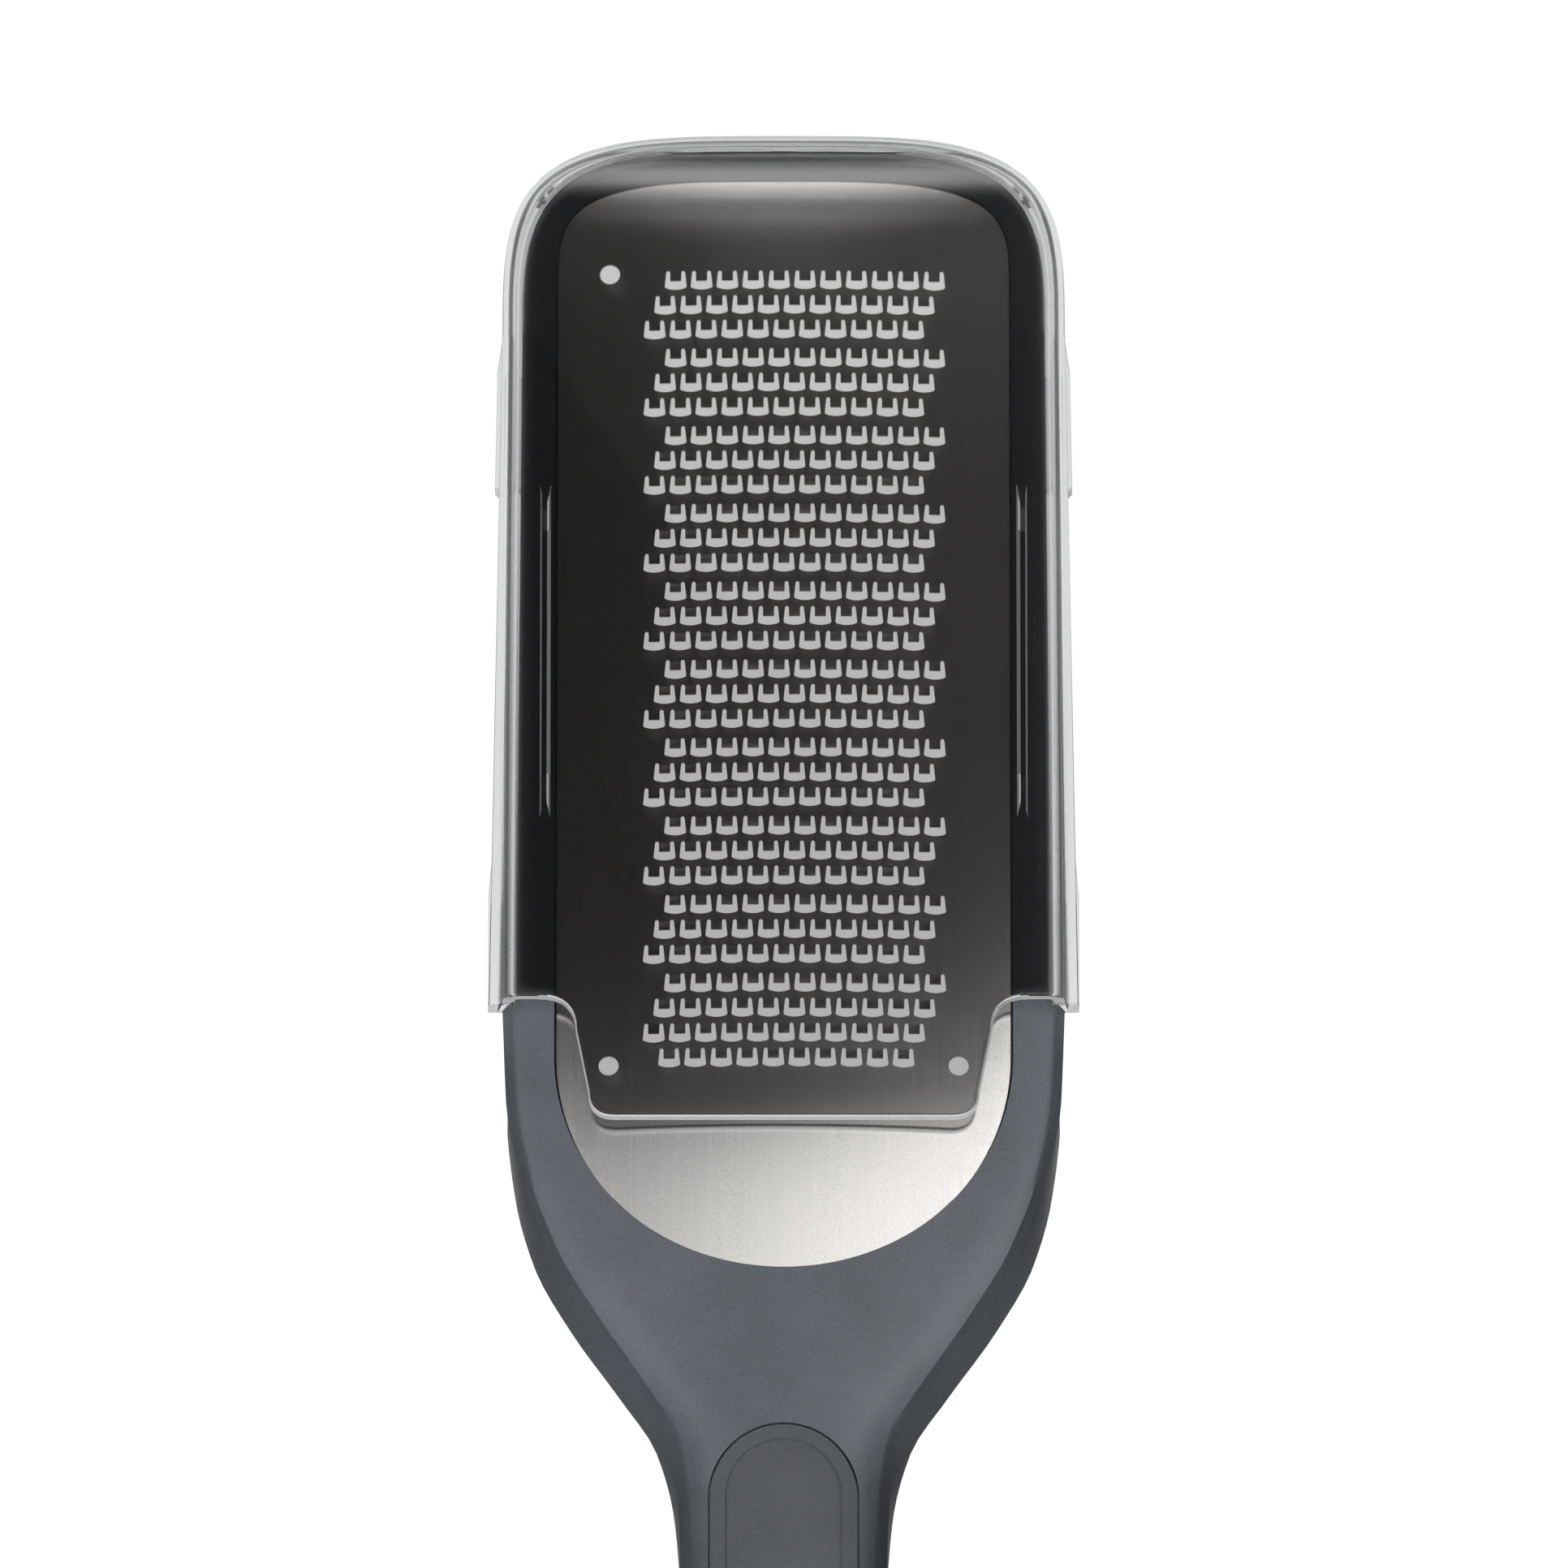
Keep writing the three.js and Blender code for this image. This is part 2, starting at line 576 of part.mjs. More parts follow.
// Where the walls are thicker, as places along the side and how far the wall stands out there.
function lugBumps() {
  const upperHigh = TIP_Y - UPPER_LUG.fromTip;
  const upperLow = upperHigh - UPPER_LUG.length;
  const lowerHigh = SHOULDER_Y + LOWER_LUG.length;
  const upper = [
    [upperLow - LUG_STEP, 0],
    [upperLow, UPPER_LUG.bump],
    [upperHigh, UPPER_LUG.bump],
    [upperHigh + UPPER_LUG.ramp, 0],
  ];
  const lower = [
    [SHOULDER_Y - OVER, LOWER_LUG.endBump],
    [SHOULDER_Y, LOWER_LUG.endBump],
    [lowerHigh, LOWER_LUG.bump],
    [lowerHigh + LOWER_LUG.ramp, 0],
  ];
  return [upper, lower];
}

function makeCover() {
  const openEnd = SHOULDER_Y - TAB_LENGTH - OVER;
  const ceiling = COVER_TOP - COVER_PLATE;
  const insideRadius = COVER_EDGE_RADIUS - COVER_WALL;
  const hookTop = FRONT_BOTTOM - FIT;
  const wallMiddle = (y) => headHalfWidth(y) - COVER_WALL / 2;
  const hookEdge = (y) => ringHalfWidth(y) - HOOK_REACH;
  const outside = coverBody(0, COVER_TOP, COVER_WALL_BOTTOM, COVER_EDGE_RADIUS, openEnd);
  const hollow = coverBody(COVER_WALL, ceiling, -FAR, insideRadius, openEnd - OVER);
  let cover = outside.subtract(hollow);
  for (const side of [1, -1]) {
    for (const bumps of lugBumps()) {
      const hook = bumps.slice(1, 3).map(([y]) => [y, -COVER_WALL / 2]);
      cover = cover
        .add(alongWall(side, wallMiddle, bumps, COVER_WALL_BOTTOM, COVER_RAIL_TOP))
        .add(alongWall(side, hookEdge, hook, COVER_WALL_BOTTOM, hookTop));
    }
    cover = cover.add(spacerRib(side));
  }
  return cover.intersect(coverPlan());
}

// Blade: one sheet with its edge turned down all round and its teeth pressed up out of the slots.

// Height of the sheet's upper face, arched across and bent down at the tip.
function sheetHeight(x, y) {
  const along = Math.max(0, (y - BLADE_TIP_Y) / BLADE_DROP_LENGTH + 1);
  return BLADE_TOP - (x * x) / (2 * BLADE_CROWN_RADIUS) - BLADE_DROP * along * along;
}

// One row of teeth: the two leg ends, the two slot corners and the two corners of the raised tongue of each.
function toothRow(y, firstX, count) {
  const top = y + SLOT_LENGTH / 2;
  const bottom = y - SLOT_LENGTH / 2;
  const teeth = [];
  for (let i = 0; i < count; i++) {
    const x = firstX + i * TOOTH_PITCH;
    teeth.push({
      legLeft: { x: x - SLOT_HALF_WIDTH_AT_LEGS, y: top },
      legRight: { x: x + SLOT_HALF_WIDTH_AT_LEGS, y: top },
      slotLeft: { x: x - SLOT_HALF_WIDTH, y: bottom },
      slotRight: { x: x + SLOT_HALF_WIDTH, y: bottom },
      tipLeft: { x: x - TONGUE_HALF_WIDTH, y: bottom + SLOT_MOUTH, lift: TOOTH_LIFT },
      tipRight: { x: x + TONGUE_HALF_WIDTH, y: bottom + SLOT_MOUTH, lift: TOOTH_LIFT },
    });
  }
  return teeth;
}

function toothRows() {
  const rows = [];
  let y = FIRST_ROW_Y;
  for (let group = 0; group < TOOTH_GROUPS; group++) {
    for (let row = 0; row < ROWS_PER_GROUP; row++) {
      rows.push(toothRow(y, FIRST_TOOTH_X + row * ROW_SHIFT, TEETH_PER_ROW));
      y -= ROW_PITCH;
    }
    y -= GROUP_GAP;
  }
  const lastY = y + GROUP_GAP;
  const lastX = FIRST_TOOTH_X + ROWS_PER_GROUP * ROW_SHIFT + TOOTH_PITCH;
  rows.push(toothRow(lastY, lastX, TEETH_IN_LAST_ROW));
  return rows;
}

function indexHole(x, y) {
  const points = [];
  for (let i = 0; i < ARC_STEPS; i++) {
    const angle = (i / ARC_STEPS) * 2 * Math.PI;
    points.push({ x: x + INDEX_HOLE_RADIUS * Math.cos(angle), y: y + INDEX_HOLE_RADIUS * Math.sin(angle) });
  }
  return points;
}

// Triangles that fill the strip between an upper and a lower chain of points, both running left to right.
function zip(upper, lower) {
  const triangles = [];
  let i = 0;
  let j = 0;
  while (i + 1 < upper.length || j + 1 < lower.length) {
    const stepUpper = j + 1 === lower.length || (i + 1 < upper.length && upper[i + 1].x <= lower[j + 1].x);
    if (stepUpper) triangles.push([upper[i], lower[j], upper[++i]]);
    else triangles.push([upper[i], lower[j], lower[++j]]);
  }
  return triangles;
}

const upperChain = (row) => row.flatMap((tooth) => [tooth.legLeft, tooth.legRight]);
const lowerChain = (row) => row.flatMap((tooth) => [tooth.slotLeft, tooth.slotRight]);

// Triangles of the field of teeth, filled row by row.
function fieldFaces(rows) {
  const faces = [];
  rows.forEach((row, r) => {
    row.forEach((tooth, i) => {
      faces.push([tooth.legLeft, tooth.tipLeft, tooth.legRight]);
      faces.push([tooth.legRight, tooth.tipLeft, tooth.tipRight]);
      const next = row[i + 1];
      if (next) faces.push(...zip([tooth.legRight, next.legLeft], [tooth.slotRight, next.slotLeft]));
    });
    if (rows[r + 1]) faces.push(...zip(lowerChain(row), upperChain(rows[r + 1])));
  });
  return faces;
}

// The line around the field of teeth, which is a hole in the plain margin.
function fieldBorder(rows) {
  const rightSide = rows.flatMap((row) => [row.at(-1).legRight, row.at(-1).slotRight]);
  const leftSide = rows.flatMap((row) => [row[0].legLeft, row[0].slotLeft]);
  return [
    ...upperChain(rows[0]),
    ...rightSide.slice(1, -1),
    ...lowerChain(rows.at(-1)).reverse(),
    ...leftSide.slice(1, -1).reverse(),
  ];
}

// Triangles of the plain margin. They are found on points bent along the crown, because the triangulation
// drops points that lie on one straight line.
function marginFaces(outline, inside) {
  const bent = (p) => new THREE.Vector2(p.x, p.y - (p.x * p.x) / (2 * BLADE_CROWN_RADIUS));
  const loops = [outline, ...inside];
  const points = loops.flat();
  const flat = loops.map((loop) => loop.map(bent));
  const flatPoints = flat.flat();
  const triangles = THREE.ShapeUtils.triangulateShape(flat[0], flat.slice(1));
  return triangles.map((triangle) => turned(triangle, flatPoints, 1).map((i) => points[i]));
}

function makeBlade() {
  const outline = bladeOutline(0).map(({ x, y }) => ({ x, y }));
  const underOutline = bladeOutline(SHEET);
  const rows = toothRows();
  const lastRowY = (rows.at(-1)[0].slotLeft.y + rows.at(-1)[0].legLeft.y) / 2;
  const holes = [
    indexHole(-INDEX_HOLE_X, FIRST_ROW_Y + INDEX_HOLE_STEP),
    indexHole(-INDEX_HOLE_X, lastRowY - INDEX_HOLE_STEP),
    indexHole(INDEX_HOLE_X, lastRowY - INDEX_HOLE_STEP),
  ];
  const faces = [...fieldFaces(rows), ...marginFaces(outline, [fieldBorder(rows), ...holes])];

  // Upper and lower points share one numbering, so both faces and the walls between them fit together.
  const points = [];
  const numbers = new Map();
  const number = (p, key, place) => {
    const id = numbers.get(p) ?? {};
    id[key] ??= points.push(place()) - 1;
    numbers.set(p, id);
    return id[key];
  };
  const height = (p) => sheetHeight(p.x, p.y) + (p.lift ?? 0);
  const up = (p) => number(p, "up", () => new THREE.Vector3(p.x, p.y, height(p)));
  const down = (p) => number(p, "down", () => new THREE.Vector3(p.x, p.y, height(p) - SHEET));
  outline.forEach((p, i) => {
    const q = underOutline[i];
    number(p, "down", () => new THREE.Vector3(q.x, q.y, sheetHeight(q.x, q.y) - SHEET));
    number(p, "hem", () => new THREE.Vector3(p.x, p.y, FRONT_BOTTOM));
    number(p, "hemInside", () => new THREE.Vector3(q.x, q.y, FRONT_BOTTOM));
  });

  const triangles = [];
  for (const [a, b, c] of faces) {
    triangles.push([up(a), up(b), up(c)], [down(a), down(c), down(b)]);
  }
  const wall = (loop, from, to) => {
    loop.forEach((p, i) => {
      const q = loop[(i + 1) % loop.length];
      triangles.push([from(p), from(q), to(p)], [from(q), to(q), to(p)]);
    });
  };
  const slotLoop = (tooth) => [
    tooth.legLeft,
    tooth.slotLeft,
    tooth.slotRight,
    tooth.legRight,
    tooth.tipRight,
    tooth.tipLeft,
  ];
  rows.flat().forEach((tooth) => wall(slotLoop(tooth), up, down));
  holes.forEach((hole) => wall(hole, up, down));
  const hem = (p) => numbers.get(p).hem;
  const hemInside = (p) => numbers.get(p).hemInside;
  wall(outline, hem, up);
  wall(outline, hemInside, hem);
  wall(outline, down, hemInside);
  return toSolid(facets(points, triangles));
}

// Finishes
const softGrey = { color: 0x585b60, roughness: 0.62, metalness: 0 };
const darkGrey = { color: 0x4a4c50, roughness: 0.65, metalness: 0 };
const rubberGrey = { color: 0x3d3f43, roughness: 0.85, metalness: 0 };
const steel = { color: 0xb9b5b0, roughness: 0.32, metalness: 1 };
const smokedClear = { color: 0x8f9194, roughness: 0.06, metalness: 0, transparent: true, opacity: 0.45 };

function part(name, solid, finish) {
  const { numProp, numVert, vertProperties, triVerts } = solid.getMesh();
  const position = new Float32Array(numVert * 3);
  for (let i = 0; i < numVert; i++) {
    position.set(vertProperties.subarray(i * numProp, i * numProp + 3), i * 3);
  }
  const geometry = new THREE.BufferGeometry();
  geometry.setAttribute("position", new THREE.BufferAttribute(position, 3));
  geometry.setIndex(new THREE.BufferAttribute(new Uint32Array(triVerts), 1));
  geometry.computeVertexNormals();
  const mesh = new THREE.Mesh(geometry, new THREE.MeshStandardMaterial(finish));
  mesh.name = name;
  return mesh;
}

const grater = new THREE.Group();
grater.name = "fine_grater";
grater.add(
  part("blade", makeBlade(), steel),
  part("front_frame", makeFrontFrame(), softGrey),
  part("back_frame", makeBackFrame(), darkGrey),
  part("thumb_inlay", makeThumbInlay(), rubberGrey),
  part("finger_inlay", makeFingerInlay(), rubberGrey),
  part("tip_foot", makeTipFoot(), rubberGrey),
  part("protective_cover", makeCover(), smokedClear),
);

export default grater;
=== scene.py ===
# %% [markdown]
# # A fine grater under its clear cover
#
# The grater is an etched steel sheet in a grey moulded frame with a handle. A clear, lightly smoked
# cover slides over the teeth and comes off at the tip. So there are two bodies: the grater and its cover.
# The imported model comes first, because it fixes the place and the size of everything that follows.

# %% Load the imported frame
from math import asin, cos, pi, radians, sin, sqrt

import bmesh
import bpy
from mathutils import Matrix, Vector


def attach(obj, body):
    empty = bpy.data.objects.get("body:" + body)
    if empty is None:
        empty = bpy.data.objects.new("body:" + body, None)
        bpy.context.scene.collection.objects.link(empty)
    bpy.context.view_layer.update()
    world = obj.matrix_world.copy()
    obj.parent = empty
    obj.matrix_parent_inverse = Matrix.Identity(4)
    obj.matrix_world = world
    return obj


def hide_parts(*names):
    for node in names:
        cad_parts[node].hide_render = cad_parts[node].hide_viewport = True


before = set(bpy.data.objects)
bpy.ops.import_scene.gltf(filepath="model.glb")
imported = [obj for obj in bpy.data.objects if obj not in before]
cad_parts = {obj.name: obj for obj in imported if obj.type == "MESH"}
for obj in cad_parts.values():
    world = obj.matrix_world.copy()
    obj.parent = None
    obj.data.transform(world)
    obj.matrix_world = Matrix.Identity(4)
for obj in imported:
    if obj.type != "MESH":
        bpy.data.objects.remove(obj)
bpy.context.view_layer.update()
scene = bpy.context.scene
scene.view_settings.view_transform = "Standard"

# %% [markdown]
# ## Camera
#
# The photograph looks at the grating face from the handle's side, tilted by 20 degrees, and shows almost
# no perspective: slots at the near and the far end are equally wide. An orthographic camera could do that,
# but a very long lens from far away gives the same picture and still frames well from other sides.

# %% Camera far away with a long lens
PICTURE_WIDTH = 0.2125  # metres across the square picture
LENS = 800.0  # millimetres
SENSOR = 36.0
ELEVATION = radians(70)
AIM = Vector((0.00005, 0.0507, 0.012))

camera = bpy.data.objects.new("camera", bpy.data.cameras.new("camera"))
scene.collection.objects.link(camera)
scene.camera = camera
camera.data.lens = LENS
camera.data.sensor_width = SENSOR
camera.data.clip_end = 100.0
toward_camera = Vector((0, -cos(ELEVATION), sin(ELEVATION)))
distance = PICTURE_WIDTH * LENS / SENSOR
camera.location = AIM + toward_camera * distance
camera.rotation_euler = (-toward_camera).to_track_quat("-Z", "Y").to_euler()
print("camera is", round(distance, 2), "m away")

# %% [markdown]
# ## The soft square outline
#
# Cover, frame and blade all end in the same kind of tip: fuller than an ellipse and rounder than a box.
# A Bezier curve could be fitted to it, but a superellipse needs only one number, its power. Even steps
# of the polar angle spread its points evenly. All modelling is in millimetres, and each finished piece
# is scaled to metres.

# %% Outlines of head and blade
TIP_Y = 145.0
SHOULDER_Y = 19.1  # open end of the cover's side walls
CORNER_Y = 114.6  # where the head's rounded corners begin
HEAD_HALF = 39.9  # half-width at the open end
HEAD_TAPER = 0.0166  # how much narrower each side gets per millimetre toward the tip
HEAD_POWER = 3.8  # 2 would be an ellipse
BLADE_RADIUS = 30.9  # also half the blade's width
BLADE_END_Y = -19.25
BLADE_TIP_Y = 138.05
BLADE_CORNER = 17.5  # how far below the tip its corners begin
BLADE_POWER = 4.0


def soft_corner(half_width, length, base_y, power, steps):
    """The right-hand corner of a soft square, from its side to its tip."""
    points = []
    for i in range(steps + 1):
        angle = pi / 2 * i / steps
        across, along = cos(angle), sin(angle)
        reach = (across**power + along**power) ** (-1 / power)
        points.append((half_width * reach * across, base_y + length * reach * along))
    return points


def both_sides(right):
    """A closed outline from its right-hand half. A point on the axis is used once."""
    return right + [(-x, y) for x, y in reversed(right) if x > 1e-6]


def head_half_width(y):
    return HEAD_HALF - HEAD_TAPER * (y - SHOULDER_Y)


def head_outline(inset, end_y, widening=1.0, steps=40):
    """Outline of the head, moved inward, open at end_y. Its sides widen fully toward there (1) or not (0)."""
    corner_half_width = head_half_width(CORNER_Y) - inset
    flare = head_half_width(end_y) - head_half_width(CORNER_Y)
    right = [(corner_half_width + widening * flare, end_y)]
    right += soft_corner(corner_half_width, TIP_Y - inset - CORNER_Y, CORNER_Y, HEAD_POWER, steps)
    return both_sides(right)


def blade_outline(inset, steps=40):
    """Outline of the blade, moved inward: half round at the handle, soft square at the tip."""
    radius = BLADE_RADIUS - inset
    centre_y = BLADE_END_Y + BLADE_RADIUS
    right = []
    for i in range(steps):
        angle = pi / 2 * (i / steps - 1)
        right.append((radius * cos(angle), centre_y + radius * sin(angle)))
    right.append((radius, centre_y))
    right += soft_corner(radius, BLADE_CORNER - inset, BLADE_TIP_Y - BLADE_CORNER, BLADE_POWER, steps)
    return both_sides(right)


print("head outline:", len(head_outline(0, SHOULDER_Y)), "points; blade:", len(blade_outline(0)), "points")

# %% [markdown]
# ## Helpers that shape and finish a piece
#
# A moulded body is lofted: closed sections are bridged one after the other and both ends are filled.
# Openings are cut by a Boolean, because they cross many sections at once. At the end a piece is scaled
# to metres, shaded smooth up to its creases and set on its body in place of its CAD node. Weighted normals
# keep its large flat faces flat beside the rounded edges next to them.


# %% Loft, slab and carve
def ring(bm, points):
    """A closed loop of edges through points."""
    verts = [bm.verts.new(point) for point in points]
    return [bm.edges.new(pair) for pair in zip(verts, verts[1:] + verts[:1])]


def loft(sections):
    """A closed body through closed sections of equally many points."""
    bm = bmesh.new()
    rings = [ring(bm, section) for section in sections]
    for one, other in zip(rings, rings[1:]):
        bmesh.ops.bridge_loops(bm, edges=one + other)
    for end in (rings[0], rings[-1]):
        bmesh.ops.contextual_create(bm, geom=end)
    bmesh.ops.recalc_face_normals(bm, faces=bm.faces)
    return bm


def slab(outline, low=-20, high=60):
    """An outline in plan, carried from one height to another, past any piece unless a height is given."""
    return loft([[(x, y, z) for x, y in outline] for z in (low, high)])


def new_object(name, bm, finish=None):
    """An object in the scene with the mesh of a body, which is used up."""
    mesh = bpy.data.meshes.new(name)
    bm.to_mesh(mesh)
    bm.free()
    if finish:
        mesh.materials.append(finish)
    obj = bpy.data.objects.new(name, mesh)
    scene.collection.objects.link(obj)
    return obj


def carve(body, tool, operation="DIFFERENCE"):
    """The body after a Boolean with a tool. Both are used up."""
    pair = new_object("body", body), new_object("tool", tool)
    boolean = pair[0].modifiers.new("boolean", "BOOLEAN")
    boolean.object = pair[1]
    boolean.operation = operation
    boolean.solver = "EXACT"
    bpy.context.view_layer.update()
    shown = pair[0].evaluated_get(bpy.context.evaluated_depsgraph_get())
    result = bmesh.new()
    result.from_mesh(shown.to_mesh())
    shown.to_mesh_clear()
    for obj in pair:
        bpy.data.meshes.remove(obj.data)
    return result


def make_piece(name, bm, finish, body, node, crease=32):
    """Sets a piece on its body, in metres, smooth up to its creases, in place of its CAD node."""
    bmesh.ops.remove_doubles(bm, verts=bm.verts, dist=1e-4)
    bmesh.ops.scale(bm, vec=(0.001, 0.001, 0.001), verts=bm.verts)
    for face in bm.faces:
        face.smooth = True
    for edge in bm.edges:
        edge.smooth = edge.calc_face_angle(0) < radians(crease)
    open_edges = sum(not edge.is_manifold for edge in bm.edges)
    piece = new_object(name, bm, finish)
    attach(piece, body)
    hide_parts(node)
    piece.modifiers.new("flat_faces", "WEIGHTED_NORMAL").keep_sharp = True
    print(name + ":", len(piece.data.polygons), "faces,", open_edges, "open edges")
    return piece


print("slab of a triangle:", len(slab([(0, 0), (1, 0), (0, 1)]).faces), "faces")

# %% [markdown]
# ## Finishes
#
# Every finish starts from one Principled shader. A small helper adds a noise on Object coordinates, in
# steps per metre along each axis, so that grain and brushing keep their real scale. Others stretch and
# combine such values, and turn them into colours or a mix of two shaders.

# %% Nodes, and noise at a real scale
NOISE_LOW, NOISE_HIGH = 0.3, 0.7  # most values of a noise lie between these


def new_finish(name):
    material = bpy.data.materials.new(name)
    material.use_nodes = True
    return material, material.node_tree, material.node_tree.nodes["Principled BSDF"]


def tune(node, **inputs):
    """The node with inputs set to values or linked to results. A low line in a name stands for a space."""
    for name, value in inputs.items():
        socket = node.inputs[name.replace("_", " ")]
        if isinstance(value, bpy.types.NodeSocket):
            node.id_data.links.new(value, socket)
        else:
            socket.default_value = value
    return node


def add(tree, kind, **inputs):
    return tune(tree.nodes.new("ShaderNode" + kind), **inputs)


def grain(tree, per_metre, detail=2.0):
    """A noise value with so many steps per metre along X, Y and Z."""
    place = add(tree, "TexCoord")
    mapping = add(tree, "Mapping", Vector=place.outputs["Object"], Scale=per_metre)
    noise = add(tree, "TexNoise", Vector=mapping.outputs["Vector"], Scale=1.0, Detail=detail)
    return noise.outputs["Fac"]


def ramp(value, start, end, low, high, kind="LINEAR"):
    """A result that goes from low to high while a value goes from start to end."""
    limits = {"From_Min": start, "From_Max": end, "To_Min": low, "To_Max": high}
    step = add(value.id_data, "MapRange", Value=value, **limits)
    step.interpolation_type = kind
    return step.outputs["Result"]


def between(value, low, high):
    """A noise value stretched from low to high."""
    return ramp(value, NOISE_LOW, NOISE_HIGH, low, high)


def combine(operation, one, other):
    """Two values, or a value and a number, combined."""
    tree = one.id_data
    node = add(tree, "Math")
    node.operation = operation
    tree.links.new(one, node.inputs[0])
    if isinstance(other, float):
        node.inputs[1].default_value = other
    else:
        tree.links.new(other, node.inputs[1])
    return node.outputs[0]


def tones(value, dark, light):
    """A colour between two tones."""
    blended = add(value.id_data, "Mix")
    blended.data_type = "RGBA"
    tune(blended, Factor=value, A=(*dark, 1), B=(*light, 1))
    return blended.outputs["Result"]


def mix_shaders(tree, share, one, other):
    """Makes the surface a mix of two shaders."""
    mixed = add(tree, "MixShader")
    for source, socket in zip((share, one, other), mixed.inputs):
        tree.links.new(source, socket)
    tune(tree.nodes["Material Output"], Surface=mixed.outputs["Shader"])


print("noise is used from", NOISE_LOW, "to", NOISE_HIGH)

# %% [markdown]
# ### Brushed steel
#
# The sheet is brushed along its length: fine streaks, a third of a millimetre wide and a few centimetres
# long, and a slight grain from etching. Streaks spread a reflection sideways, which the shader's
# anisotropy does once it knows the direction. A flat UV map gives that direction.

# %% Steel of the blade
steel, tree, shader = new_finish("brushed_steel")
tune(shader, Metallic=1.0, Anisotropic=0.5)
streaks = grain(tree, (2600, 45, 2600), 3.0)
etching = grain(tree, (5200, 5200, 5200), 1.0)
share = combine("ADD", combine("MULTIPLY", streaks, 0.5), between(etching, 0.0, 0.5))
steel_colour = tones(share, (0.56, 0.546, 0.532), (0.81, 0.79, 0.77))
tune(shader, Base_Color=steel_colour, Roughness=between(streaks, 0.175, 0.19))
brushing = add(tree, "Tangent")
brushing.direction_type = "UV_MAP"
brushing.uv_map = "brushing"
tune(shader, Tangent=brushing.outputs["Tangent"])
print("steel:", len(tree.nodes), "nodes")

# %% [markdown]
# ### Moulded shells and soft inlays
#
# The frame is a matte grey with a touch of blue and the fine spark-eroded grain of its mould. The inlays
# are a softer, darker elastomer. Both use the same recipe: a broad, faint mottling and a fine grain in the
# colour, and the same grain in roughness and relief.


# %% Grey mouldings and elastomer
def moulded(name, dark, light, rough, per_metre, depth):
    material, tree, shader = new_finish(name)
    mottling = grain(tree, (90, 90, 90), 3.0)
    fine = grain(tree, (per_metre, per_metre, per_metre), 2.0)
    share = combine("ADD", between(mottling, 0.0, 0.35), between(fine, 0.0, 0.65))
    roughness = between(fine, rough - 0.06, rough + 0.06)
    bump = add(tree, "Bump", Height=fine, Distance=depth, Strength=0.3)
    tune(shader, Base_Color=tones(share, dark, light), Roughness=roughness, Normal=bump.outputs["Normal"])
    return material


front_grey = moulded("soft_grey_moulding", (0.062, 0.068, 0.077), (0.106, 0.116, 0.131), 0.46, 3500, 0.00003)
back_grey = moulded("dark_grey_moulding", (0.058, 0.063, 0.072), (0.098, 0.107, 0.121), 0.5, 3500, 0.00003)
inlay_grey = moulded("soft_elastomer", (0.050, 0.054, 0.060), (0.080, 0.085, 0.096), 0.72, 2500, 0.00004)
print("mouldings:", front_grey.name, back_grey.name, inlay_grey.name)

# %% [markdown]
# ### Smoked clear plastic
#
# The cover's front is a smoked pane: things behind it look darker, and metal behind it much darker,
# because light passes it twice. Its rim stays clear, with a slight haze that spreads the light in it. Glass
# in a path tracer shuts out lamps, so for shadow rays the pane is a plain tinted film, as a thin pane is
# in life. The share of clear rim is stored on the mesh, because it follows the outline. Where the plastic
# was cut it is frosted, and its pale tone paints the bright highlight line along the cut. Along the ribs a
# pale white paints the light lines that the ribs show through the front.

# %% Plastic of the cover
SMOKE = (0.48, 0.476, 0.472)
CLEAR = (0.74, 0.744, 0.748)
FILM = 0.22  # what one face of the pane lets through for shadow rays


def clear_plastic(name, roughness, transmission):
    """A clear finish that is a tinted film to lamps."""
    material, tree, shader = new_finish(name)
    tune(shader, Transmission_Weight=transmission, Roughness=roughness, IOR=1.49)
    film = add(tree, "BsdfTransparent", Color=(FILM, FILM, FILM, 1))
    path = add(tree, "LightPath")
    mix_shaders(tree, path.outputs["Is Shadow Ray"], shader.outputs["BSDF"], film.outputs["BSDF"])
    return material, tree, shader


POLISHED, HAZY = 0.02, 0.24  # roughness of front and rim
cover_plastic, tree, shader = clear_plastic("smoked_clear_plastic", POLISHED, 1.0)
rim = add(tree, "Attribute")
rim.attribute_name = "rim"
haze = ramp(rim.outputs["Fac"], 0.0, 1.0, POLISHED, HAZY)
tune(shader, Base_Color=tones(rim.outputs["Fac"], SMOKE, CLEAR), Roughness=haze)


def pale_highlight_plastic(name, clearness, dark, light):
    """A pale plastic that scatters light, more so the less clear it is. Its pale tone paints highlight lines.
    """
    material, tree, shader = clear_plastic(name, 0.3, clearness)
    frost = between(grain(tree, (1500, 1500, 1500), 2.0), 0.0, 1.0)
    tune(shader, Base_Color=tones(frost, dark, light))
    return material


# pale tones paint highlights: a bright line on frosted cut edges and lug ends, and light lines on the rib
# chamfers
cut_edge_highlight = pale_highlight_plastic("cut_edge_painted_highlight", 0.25, (0.56, 0.565, 0.57), (0.66, 0.665, 0.67))
rib_painted_highlight = pale_highlight_plastic("rib_side_painted_highlight", 0.0, (0.86, 0.865, 0.87), (0.94, 0.945, 0.95))
print("cover plastics:", cover_plastic.name, cut_edge_highlight.name, rib_painted_highlight.name)

# %% [markdown]
# ## Blade
#
# The blade is one sheet, 0.3 mm thick. Rows of U-shaped slots are etched through it, and each
# leaves a tongue whose free end is pressed up and cuts. Boolean cuts for some 340 slots would be slow and
# leave a poor mesh. Here the outline, the slots and three index holes are drawn as edges, one fill makes
# the sheet around them, and each tongue is extruded from the edge that it hangs on.

# %% Where the teeth are
TOOTH_PITCH = 3.52
ROW_PITCH = 3.58
GROUP_GAP = 0.55
ROW_SHIFT = -1.43
FIRST_ROW_Y = BLADE_TIP_Y - 14.6
FIRST_TOOTH_X = -14.7


